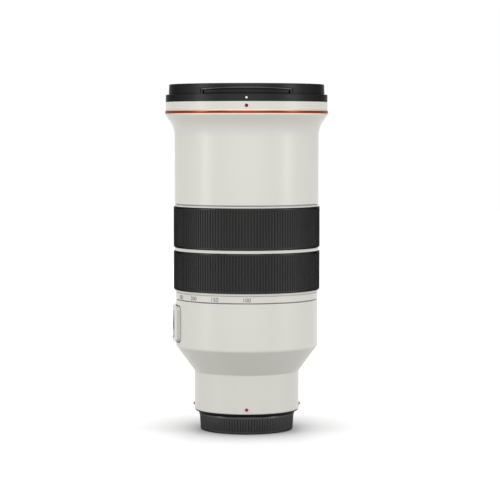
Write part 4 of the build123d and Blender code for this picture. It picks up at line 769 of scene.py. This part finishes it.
FRONT_GLASS = coated_glass("front glass", (0.66, 0.70, 0.68), (0.30, 0.85, 0.55))
INNER_GLASS = coated_glass("inner glass", (0.68, 0.70, 0.69), (0.62, 0.35, 0.95))
print(len(bpy.data.materials), "materials")


# %% [markdown]
# Which piece wears what
#
# Each CAD node keeps its shape and takes one of the finishes. The list is by finish, as on a paint shop's
# card. Nodes that a new surface replaces further down are on it too, so that nothing is left bare.

# %% Dress the CAD nodes
WEARS = {
    ENAMEL: ["rear_barrel", "body_sleeve", "spacer_ring", "zoom_ring", "front_barrel", "front_bezel"],
    PANEL_ENAMEL: ["switch_panel"],
    RUBBER: ["zoom_grip", "focus_grip"],
    SEAL_RUBBER: ["mount_seal"],
    FRONT_CAP: ["front_cap"],
    TAB_PLASTIC_IN_PAINTED_SHADE: ["front_cap_tab_front", "front_cap_tab_back"],
    CAP_PLASTIC: ["rear_cap", "contact_block", "rear_baffle", "iris_housing", "iris_drive_ring",
                  "stabiliser_base", "stabiliser_frame"],
    KNOB_PLASTIC: ["switch_knob_1", "switch_knob_2", "switch_knob_3"],
    BLACK_METAL: ["hood_mount_ring", "front_lens_cell", "front_retaining_ring", "extension_tube",
                  "rear_lens_cell", "variator_cell", "focus_cell", "focus_ring", "cam_barrel",
                  "guide_barrel"],
    ACCENT: ["accent_ring"],
    INDEX_RED: ["index_dots"],
    MOUNT_METAL: ["mount_plate"],
    STEEL: ["mount_screws", "zoom_key", "front_followers", "focus_guide_rods", "stabiliser_shaft"],
    MOTOR_METAL: ["focus_motor"],
    COPPER: ["iris_coil", "stabiliser_coils"],
    GOLD: ["contact_pins"],
    BLADE_BLACK: [f"iris_blade_{n}" for n in range(1, 8)],
    BOARD: ["main_board"],
    FRONT_GLASS: ["front_element", "rear_element"],
    INNER_GLASS: ["front_doublet", "variator_element", "stabiliser_element", "focus_element"],
}
for material, names in WEARS.items():
    for name in names:
        nodes[name].data.materials.clear()
        nodes[name].data.materials.append(material)
print(sum(len(names) for names in WEARS.values()), "nodes dressed")


# %% [markdown]
# Ribbed rubber
#
# The zoom and focus rings are sleeves of rubber with 156 fine upright ribs between two plain lips. A real
# rib is moulded, so its crown is broad and soft and the valley beside it is narrow, which is why the rubber
# looks like velvet and not like a gear. The rib is worked out as a cosine raised to a small power, which
# does just that, and it fades out over six tenths of a millimetre at each lip. The ribs are cut down from
# the lip's level, so they stay inside it.

# %% The rib profile
CROWN_POWER = 0.25
POINTS_PER_RIB = 8
FADE_ROWS = 6


def ribs(count, depth, low, high, fade):
    """Relief of moulded ribs, always at or below the plain wall. Across the angle it is a cosine raised to
    the power of a quarter, down from 0 to -depth, so the crown is broad and the valley narrow; along the
    height it fades out by a smooth step at both ends."""

    def relief(angle, radius, height):
        """How far the ribs stand back from the plain wall, as a number that is 0 or less."""
        crown = np.clip(0.5 + 0.5 * np.cos(count * angle), 0, 1) ** CROWN_POWER
        rise = np.clip((height - low) / fade, 0, 1)
        fall = np.clip((high - height) / fade, 0, 1)
        reach = np.minimum(rise, fall)
        return -depth * (1 - crown) * reach * reach * (3 - 2 * reach)

    return relief


def levels(low, high, fade):
    """Heights for the rows of a ribbed wall: close together where the ribs fade, far apart between."""
    step = np.linspace(0, fade, FADE_ROWS)
    return np.concatenate((low + step, high - step[::-1]))


print(POINTS_PER_RIB, "points across each rib")


# %% The two grips
GRIP_RIBS = 156
RIB_DEPTH = 0.4
LIP = 1.0
LIP_ROUNDING = 0.75
GRIP_WALL = 2.3
RIB_FADE = 0.6


def rubber_sleeve(name, node, body):
    """A rubber sleeve in the place of a CAD grip: inner wall, two rounded lips, and ribs between them."""
    low, high = heights(node)
    radius = outer_radius(node)
    inner = radius - GRIP_WALL
    ring = rounded([
        (inner, low, 0),
        (radius, low, LIP_ROUNDING),
        (radius, high, LIP_ROUNDING),
        (inner, high, 0),
    ])
    wall = levels(low + LIP, high - LIP, RIB_FADE)
    ribbed = np.column_stack((np.full(len(wall), radius), wall))
    # The ribbed wall goes in after the inner corner and the arc of the lower lip
    past_lip = 1 + ARC_STEPS + 1
    outline = np.concatenate((ring[:past_lip], ribbed, ring[past_lip:]))
    relief = ribs(GRIP_RIBS, RIB_DEPTH, low + LIP, high - LIP, RIB_FADE)
    shell = revolve(outline, GRIP_RIBS * POINTS_PER_RIB, relief)
    place_shells(name, [shell], RUBBER, body, stands_for=(node,))


rubber_sleeve("zoom_rubber", "zoom_grip", "zoom_control")
rubber_sleeve("focus_rubber", "focus_grip", "focus_control")


# %% [markdown]
# The rear cap
#
# The rear cap is a moulded cup that hides the bayonet. Its wall leans in a little towards the floor, so that
# it leaves its mould, and carries 105 shallow ribs under a smooth rim. The lens stands on it. It is the same
# outline idea, begun and ended on the axis, with three short lugs inside that hold the bayonet.

# %% The rear cap's sizes
CAP_RIBS = 105
CAP_RIB_DEPTH = 0.5
CAP_RIB_START = 1.2
CAP_RIB_FADE = 0.5
CAP_RIM_BOTTOM = 10.7
CAP_RIM_STEP = 0.15
CAP_RIM_RADIUS = 34.15
CAP_SKIRT_RADIUS = 33.7
CAP_FOOT_RADIUS = 33.0
CAP_INNER_RADIUS = 30.0
CAP_FLOOR = 2.2
CAP_EDGE_ROUNDING = 0.4
CAP_STEP_ROUNDING = 0.2
CAP_RIM_ROUNDING = 0.8
LUG_INNER_RADIUS = 25.5
LUG_OVERLAP = 0.3
LUG_LEVELS = (9.0, 10.6)
LUG_MIDDLES = (149, 269, 29)
LUG_TURN = 50
LUG_COLUMNS = 24
cap_low, cap_high = heights("rear_cap")
print("rear cap", round(cap_high - cap_low, 1), "mm high and", 2 * CAP_RIM_RADIUS, "mm across")


# %% A lug
def sector(inner, outer, low, high, middle, turn):
    """A closed block between two radii, two heights and two angles: a rectangle carried along an arc, with
    both ends closed by their own quads."""
    angle = np.radians(np.linspace(middle - turn / 2, middle + turn / 2, LUG_COLUMNS))[None, :]
    radius = np.array([inner, outer, outer, inner])[:, None] + 0 * angle
    height = np.array([low, low, high, high])[:, None] + 0 * angle
    points = np.stack((radius * np.cos(angle), radius * np.sin(angle), height), axis=-1).reshape(-1, 3)
    ends = np.array([[0, 1, 2, 3], [3, 2, 1, 0]]) * LUG_COLUMNS + np.array([[0], [LUG_COLUMNS - 1]])
    return points, np.concatenate((grid_faces(4, LUG_COLUMNS, closed_columns=False), ends))


lug_outer = CAP_INNER_RADIUS + LUG_OVERLAP
cap_lugs = [sector(LUG_INNER_RADIUS, lug_outer, *LUG_LEVELS, middle, LUG_TURN) for middle in LUG_MIDDLES]
print(len(cap_lugs), "lugs of", LUG_TURN, "degrees")


# %% The rear cap's shell
def cap_ribs(angle, radius, height):
    """The ribs belong to the outer wall only."""
    relief = ribs(CAP_RIBS, CAP_RIB_DEPTH, cap_low + CAP_RIB_START, CAP_RIM_BOTTOM, CAP_RIB_FADE)
    middle_of_wall = (CAP_INNER_RADIUS + CAP_FOOT_RADIUS) / 2
    return np.where(radius > middle_of_wall, relief(angle, radius, height), 0)


wall = levels(cap_low + CAP_RIB_START, CAP_RIM_BOTTOM, CAP_RIB_FADE)
lean = (CAP_SKIRT_RADIUS - CAP_FOOT_RADIUS) / (CAP_RIM_BOTTOM - cap_low)
skirt = np.column_stack((CAP_FOOT_RADIUS + lean * (wall - cap_low), wall))
foot = rounded([
    (0, cap_low, 0),
    (CAP_FOOT_RADIUS, cap_low, CAP_EDGE_ROUNDING),
    (CAP_SKIRT_RADIUS, CAP_RIM_BOTTOM, 0),
])[:-1]
rim = rounded([
    (CAP_SKIRT_RADIUS, CAP_RIM_BOTTOM, 0),
    (CAP_RIM_RADIUS, CAP_RIM_BOTTOM + CAP_RIM_STEP, CAP_STEP_ROUNDING),
    (CAP_RIM_RADIUS, cap_high, CAP_RIM_ROUNDING),
    (CAP_INNER_RADIUS, cap_high, CAP_EDGE_ROUNDING),
    (CAP_INNER_RADIUS, CAP_FLOOR, 0),
])[1:]
cap_outline = np.concatenate((foot, skirt, rim, [(0, CAP_FLOOR)]))
cap_shell = revolve(cap_outline, CAP_RIBS * POINTS_PER_RIB, cap_ribs, closed=False)
place_shells(
    "rear_cap_shell", [cap_shell, *cap_lugs], REAR_PLASTIC, "rear_cover",
    stands_for=("rear_cap",),
)


# %% [markdown]
# The mount seal
#
# Between the white neck and the bayonet sits a soft black skirt that keeps dust and rain out of the camera.
# It is full under the neck and curls in towards the camera, so its outline is a short wall, a round
# shoulder and a lip. It replaces the plain cone of the CAD model.

# %% The seal's skirt
SEAL_SWELL = 0.45
SEAL_WALL = 0.5
SEAL_LIP_RADIUS = 34.5
SEAL_LIP_ROUNDING = 0.2
SEAL_SHOULDER = 1.0
SEAL_COLUMNS = 240
seal_low, seal_high = heights("mount_seal")
seal_inner = outer_radius("mount_plate")
seal_outer = outer_radius("mount_seal") + SEAL_SWELL
seal_outline = rounded([
    (seal_inner, seal_low, 0),
    (SEAL_LIP_RADIUS, seal_low, SEAL_LIP_ROUNDING),
    (seal_outer, seal_high - SEAL_WALL, SEAL_SHOULDER),
    (seal_outer, seal_high, 0),
    (seal_inner, seal_high, 0),
])
place_shells(
    "mount_seal_skirt", [revolve(seal_outline, SEAL_COLUMNS)], SEAL_RUBBER, "lens_body",
    stands_for=("mount_seal",),
)
print("seal from radius", round(seal_inner, 2), "to", round(seal_outer, 2))


# %% [markdown]
# Things that sit on a round wall
#
# Dots and numbers sit on curved walls. Each is first worked out flat, with x to the right, y up and z
# towards the viewer, and then wrapped: x becomes an angle, x divided by the radius, and z adds to the
# radius. Angles count in degrees from the x axis, which puts the front of the lens at 270.

# %% Wrapped dots
FRONT = 270
DOT_SEAT = 0.2
DOT_RINGS = 10
DOT_COLUMNS = 48
BEZEL_DOT_DROP = 2.9


def wrap(points, angle, radius, height):
    """Flat points (x right, y up, z out, mm) wrapped on a wall of that radius, about an angle and height."""
    turn = np.radians(angle) + points[:, 0] / radius
    reach = radius + points[:, 2]
    return np.column_stack((reach * np.cos(turn), reach * np.sin(turn), height + points[:, 1]))


def bead(rim_radius, rise):
    """A dot: a low dome on a short stem. The dome is rise * sqrt(1 - (distance / rim)^2) over its seat."""
    lean = np.linspace(0, math.pi / 2, DOT_RINGS)
    dome = np.column_stack((rim_radius * np.cos(lean), rise * np.sin(lean)))
    outline = np.concatenate(([(0, -DOT_SEAT), (rim_radius, -DOT_SEAT)], dome))
    outline[-1, 0] = 0
    return revolve(outline, DOT_COLUMNS, closed=False)


def front_dot(name, height, material, rim_radius, rise):
    """A bead on the front of the lens, seated on the hood ring's radius."""
    points, faces = bead(rim_radius, rise)
    seated = wrap(points, FRONT, outer_radius("hood_mount_ring"), height)
    place_shells(name, [(seated, faces)], material, "front_group")


hood_low, hood_high = heights("hood_mount_ring")
hood_middle = (hood_low + hood_high) / 2
front_dot("bezel_red_dot", hood_low - BEZEL_DOT_DROP, RED_BEAD, rim_radius=1.2, rise=0.18)
front_dot("hood_white_dot", hood_middle, WHITE_INK, rim_radius=0.76, rise=0.03)


# %% [markdown]
# Numbers on the zoom band
#
# The zoom band is printed with focal lengths. They are plain numbers, so they can be drawn with Blender's
# built-in typeface. A text object becomes a mesh first; its points are then scaled to the printed height
# and wrapped round the band, a hair proud of the paint. The angles follow the turn of the ring.

# %% A number as a flat plate
NUMBER_HEIGHT = 2.8
INK_RISE = 0.03
INK_SINK = 0.05


def flat_number(word):
    """The points and faces of a word, centred, NUMBER_HEIGHT tall, as a thin closed plate. The text is made
    thick only to have a front and a back, which INK_RISE and INK_SINK then put in their places."""
    curve = bpy.data.curves.new("number", "FONT")
    curve.body = word
    curve.align_x = "CENTER"
    curve.extrude = 0.5
    writing = bpy.data.objects.new("number", curve)
    mesh = bpy.data.meshes.new_from_object(writing)
    points = np.empty(len(mesh.vertices) * 3)
    mesh.vertices.foreach_get("co", points)
    points = points.reshape(-1, 3)
    low, high = points.min(0), points.max(0)
    points[:, :2] -= (low[:2] + high[:2]) / 2
    points[:, :2] *= NUMBER_HEIGHT / (high[1] - low[1])
    points[:, 2] = np.where(points[:, 2] > 0, INK_RISE, -INK_SINK)
    faces = [list(polygon.vertices) for polygon in mesh.polygons]
    bpy.data.objects.remove(writing)
    bpy.data.curves.remove(curve)
    bpy.data.meshes.remove(mesh)
    return points, faces


print("the numbers are", NUMBER_HEIGHT, "mm tall")


# %% The printed numbers
NUMBER_LEVEL = 96.3
ZOOM_NUMBERS = {"100": 270.5, "150": 244.2, "200": 222.8, "300": 204.6, "400": 182}
barrel_radius = outer_radius("rear_barrel")
number_points = []
number_faces = []
first = 0
for word, angle in ZOOM_NUMBERS.items():
    points, faces = flat_number(word)
    number_points.append(wrap(points, angle, barrel_radius, NUMBER_LEVEL) * MM)
    number_faces += [[corner + first for corner in face] for face in faces]
    first += len(points)
number_mesh = bpy.data.meshes.new("zoom_numbers")
number_mesh.from_pydata(np.concatenate(number_points).tolist(), [], number_faces)
number_mesh.update()
place("zoom_numbers", number_mesh, PRINT_INK, "zoom_control")


# %% [markdown]
# The painted shadow round the switch panel
#
# The switch panel is a separate casting, seated on the barrel. A thin dark band round its foot, shaped like
# a gasket, is painted shadow where the panel meets the barrel. The band is a narrow frame: a rounded
# rectangle whose inner and outer edge, at two depths, make the four corners of a ring of quads. It is worked
# out flat and then wrapped round the barrel.

# %% A fine path round a rectangle
CORNER_STEPS = 8
LONGEST_STEP = 0.8


def rounded_rectangle(half_width, half_height, corner):
    """A closed path round a rectangle, counter-clockwise: four quarter circles joined by straight sides."""
    turn = np.linspace(0, math.pi / 2, CORNER_STEPS + 1)
    arcs = []
    for quarter, (side, end) in enumerate(((1, 1), (-1, 1), (-1, -1), (1, -1))):
        angle = turn + quarter * math.pi / 2
        middle = np.array([side * (half_width - corner), end * (half_height - corner)])
        arcs.append(middle + corner * np.column_stack((np.cos(angle), np.sin(angle))))
    return np.concatenate(arcs)


def fine_path(path):
    """The same closed path with its long sides divided, so that it can be wrapped round a barrel."""
    pieces = []
    for start, end in zip(path, np.roll(path, -1, axis=0)):
        count = max(1, math.ceil(np.linalg.norm(end - start) / LONGEST_STEP))
        pieces.append(start + (end - start) * (np.arange(count) / count)[:, None])
    return np.concatenate(pieces)


print("a corner has", CORNER_STEPS + 1, "points, and no step is over", LONGEST_STEP, "mm")


# %% The band of painted shadow
PANEL_SIDE = 180
PANEL_CORNER = 3.0
SHADOW_BAND_OVERLAP = 0.1
SHADOW_BAND_WIDTH = 0.85
SHADOW_BAND_RISE = 0.12
SHADOW_BAND_SINK = 0.1


def frame_band(half_width, half_height, corner, width, sink, rise):
    """A flat frame of that width round a rounded rectangle: inner and outer path at two heights."""
    inner = fine_path(rounded_rectangle(half_width, half_height, corner))
    along = np.roll(inner, -1, axis=0) - np.roll(inner, 1, axis=0)
    outwards = np.column_stack((along[:, 1], -along[:, 0])) / np.linalg.norm(along, axis=1)[:, None]
    outer = inner + outwards * width
    rows = [(inner, -sink), (outer, -sink), (outer, rise), (inner, rise)]
    points = np.concatenate([np.column_stack((path, np.full(len(path), level))) for path, level in rows])
    return points, grid_faces(4, len(inner))


points, faces = frame_band(
    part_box("switch_panel")[1].y / MM - SHADOW_BAND_OVERLAP,
    panel_high - panel_middle - SHADOW_BAND_OVERLAP,
    PANEL_CORNER - SHADOW_BAND_OVERLAP,
    SHADOW_BAND_WIDTH,
    SHADOW_BAND_SINK,
    SHADOW_BAND_RISE,
)
seated = wrap(points, PANEL_SIDE, barrel_radius, panel_middle)
# The band is painted shadow at the panel's foot
place_shells("panel_shadow_band", [(seated, faces)], SHADOW_BAND_FINISH, "lens_body")


# %% [markdown]
# Slot liners and index marks
#
# Behind each switch knob the slot is closed by a thin black strip, so that no white shows beside the knob.
# Each knob carries a white line across its middle, and the field has two short white ticks beside each
# slot, one for each place of the knob. All of them are flat rectangles, given a little thickness and
# wrapped round the barrel like the gasket.

# %% Thin bars on the panel's side
BAR_POINTS = 9


def bar(sideways, level, half_width, half_height, sink, rise):
    """A thin closed box on a round wall: a rectangle divided across its width, at two depths."""
    across = np.linspace(-half_width, half_width, BAR_POINTS)
    up = np.full(BAR_POINTS, half_height)
    ring = np.concatenate((np.column_stack((across, -up)), np.column_stack((across[::-1], up))))
    points = np.concatenate([
        np.column_stack((ring * squeeze + [sideways, level], np.full(len(ring), depth)))
        for squeeze, depth in ((0, -sink), (1, -sink), (1, rise), (0, rise))
    ])
    return points, grid_faces(4, len(ring), closed_rows=False)


def place_bars(name, bars, radius, material, body):
    """Wraps bars on a wall of that radius on the panel's side, as one piece."""
    shells = [(wrap(points, PANEL_SIDE, radius, 0), faces) for points, faces in bars]
    place_shells(name, shells, material, body)


print("a bar has", BAR_POINTS, "points across")


# %% Liners, ticks and knob lines
KNOB_TRAVEL = 4.0
KNOB_STEP = 0.15
SLOT_MARGIN = 0.15
LINER_RISE = 0.1
LINER_SINK = 0.05
INK_HALF = 0.03
TICK_LENGTH = 1.2
TICK_WIDTH = 0.4
TICK_GAP = 0.9
LINE_WIDTH = 0.45
LINE_MARGIN = 0.5
knob_boxes = {n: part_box(f"switch_knob_{n}") for n in (1, 2, 3)}
knob_places = {n: -(low.y + high.y) / 2 / MM for n, (low, high) in knob_boxes.items()}
knob_low, knob_high = heights("switch_knob_2")
knob_half = (knob_boxes[2][1].y - knob_boxes[2][0].y) / 2 / MM
knob_middle = (knob_low + knob_high) / 2
knob_radius = -knob_boxes[2][0].x / MM
slot_half = (knob_high - knob_low + KNOB_TRAVEL) / 2 + SLOT_MARGIN
liners = [
    bar(sideways, knob_middle + KNOB_TRAVEL / 2, knob_half + SLOT_MARGIN, slot_half, LINER_SINK, LINER_RISE)
    for sideways in knob_places.values()
]
place_bars("slot_liners", liners, barrel_radius, SEAL_RUBBER, "lens_body")
ticks_aside = knob_half + TICK_GAP + TICK_LENGTH / 2
ticks = [
    bar(sideways - ticks_aside, level, TICK_LENGTH / 2, TICK_WIDTH / 2, INK_HALF, INK_HALF)
    for sideways in knob_places.values()
    for level in (knob_middle, knob_middle + KNOB_TRAVEL)
]
place_bars("field_ticks", ticks, knob_radius - KNOB_STEP, WHITE_INK, "lens_body")
for n, sideways in knob_places.items():
    line = bar(sideways, knob_middle, knob_half - LINE_MARGIN, LINE_WIDTH / 2, INK_HALF, INK_HALF)
    place_bars(f"knob_{n}_line", [line], knob_radius, WHITE_INK, f"switch_{n}")


# %% [markdown]
# Floor, background and lamps
#
# The photograph is a catalogue picture: white behind, white below, and a soft shadow at the foot. The world
# is white to the camera, to reflections and through glass, and a plain level grey to everything else. The
# floor adds a little of its own light to what the camera sees, so that it meets the background in white and
# still darkens where the lens shades it: that light starts at the foot and grows with the distance from the
# axis, as one minus an exponential. To bounced light the floor is a darker grey, so that it lights the lens
# less from below. Seen from below it is clear, so the underside can be looked at. A wide soft sun overhead
# makes the shadow. Two narrow softboxes stand to the left and right of the camera: a round barrel shows a
# lamp halfway between the lamp and the camera, which puts the soft highlights there. A larger box above the
# camera fills the front, and a weaker one behind fills the back. The room is measured in metres.

# %% The floor
FLOOR_HALF = 4.0
FLOOR_SEEN = 0.65
FLOOR_BOUNCE = 0.40
GLOW_FAR = 0.56
GLOW_START = 0.035
GLOW_LENGTH = 0.05
WHITE = (1, 1, 1, 1)


def seen_by_eye(tree):
    """1 for camera, glossy and transmission rays, otherwise 0."""
    path = tree.nodes.new("ShaderNodeLightPath")
    either = math_node(tree, "MAXIMUM", path.outputs["Is Camera Ray"], path.outputs["Is Glossy Ray"])
    return math_node(tree, "MAXIMUM", either, path.outputs["Is Transmission Ray"])


floor_paint, tree, shader = new_material("pale floor")
set_sockets(shader, {"Roughness": 0.9, "Specular IOR Level": 0.0, "Emission Color": WHITE})
eye = seen_by_eye(tree)
# The glow is weaker near the foot, so the floor is painted darker there: painted shadow on top of the lens's
# real shadow
past = math_node(tree, "MAXIMUM", math_node(tree, "SUBTRACT", axis_distance(tree), GLOW_START), 0.0)
fade = math_node(tree, "EXPONENT", math_node(tree, "DIVIDE", past, -GLOW_LENGTH))
glow = math_node(tree, "MULTIPLY_ADD", fade, -GLOW_FAR, GLOW_FAR)
floor_level = math_node(tree, "MULTIPLY_ADD", eye, FLOOR_SEEN - FLOOR_BOUNCE, FLOOR_BOUNCE)
below = tree.nodes.new("ShaderNodeNewGeometry").outputs["Backfacing"]
tree.links.new(math_node(tree, "MULTIPLY", eye, glow), shader.inputs["Emission Strength"])
tree.links.new(floor_level, shader.inputs["Base Color"])
tree.links.new(math_node(tree, "SUBTRACT", 1.0, below), shader.inputs["Alpha"])

floor_mesh = bpy.data.meshes.new("floor")
corners = [(x * FLOOR_HALF, y * FLOOR_HALF, 0) for x, y in ((-1, -1), (1, -1), (1, 1), (-1, 1))]
floor_mesh.from_pydata(corners, [], [(0, 1, 2, 3)])
floor_mesh.materials.append(floor_paint)
floor = put_in_scene("floor", floor_mesh)
print("the floor is", 2 * FLOOR_HALF, "m wide")


# %% The world
WORLD_LEVEL = 0.42
world = bpy.data.worlds.new("white room")
world.use_nodes = True
bpy.context.scene.world = world
air = world.node_tree
backdrop = air.nodes["Background"]
strength = math_node(air, "MULTIPLY_ADD", seen_by_eye(air), 1 - WORLD_LEVEL, WORLD_LEVEL)
air.links.new(strength, backdrop.inputs["Strength"])
backdrop.inputs["Color"].default_value = WHITE
print("the world's level is", WORLD_LEVEL)


# %% The softboxes and the soft sun
SIDE_BOX = (0.28, 1.5)
FRONT_BOX = (1.6, 1.0)
BACK_BOX = (0.5, 1.2)
SUN_STRENGTH = 1.1
SUN_SPREAD = 80


def softbox(name, azimuth, elevation, distance, size, power):
    """An area lamp aimed at the middle of the lens; azimuth 0 is the camera's side, turning to the right."""
    lamp = bpy.data.lights.new(name, "AREA")
    lamp.shape = "RECTANGLE"
    lamp.size, lamp.size_y = size
    lamp.energy = power
    holder = put_in_scene(name, lamp)
    turn, lift = math.radians(azimuth), math.radians(elevation)
    away = np.array([math.sin(turn) * math.cos(lift), -math.cos(turn) * math.cos(lift), math.sin(lift)])
    holder.location = away * distance + np.array([0, 0, cad_high.z / 2])
    holder.rotation_euler = (math.pi / 2 - lift, 0, turn)


softbox("left softbox", azimuth=-67, elevation=12, distance=1.6, size=SIDE_BOX, power=8.2)
softbox("right softbox", azimuth=67, elevation=12, distance=1.6, size=SIDE_BOX, power=7.8)
softbox("front softbox", azimuth=0, elevation=24, distance=1.7, size=FRONT_BOX, power=11)
softbox("back softbox", azimuth=180, elevation=34, distance=2.0, size=BACK_BOX, power=9)
overhead = bpy.data.lights.new("soft sun", "SUN")
overhead.energy = SUN_STRENGTH
overhead.angle = math.radians(SUN_SPREAD)
put_in_scene("soft sun", overhead)
print(len(bpy.data.lights), "lamps")


# %% [markdown]
# The camera
#
# The picture was taken from about a metre and a half away, level with the upper barrel and tipped down by
# three and a third degrees. The distance fixes the perspective, and the focal length then fixes the frame.

# %% The camera
VIEWPOINT = (0.0024, -1.473, 0.2141)
TIPPED_DOWN = 3.33
camera = bpy.data.cameras.new("catalogue camera")
camera.sensor_width = 36.0
camera.lens = 148.3
camera.clip_start = 0.01
camera.clip_end = 20
viewer = put_in_scene("catalogue camera", camera)
viewer.location = VIEWPOINT
viewer.rotation_euler = (math.radians(90 - TIPPED_DOWN), 0, 0)
bpy.context.scene.camera = viewer
bpy.context.scene.view_settings.view_transform = "Standard"
print("the camera stands", -VIEWPOINT[1], "m away")
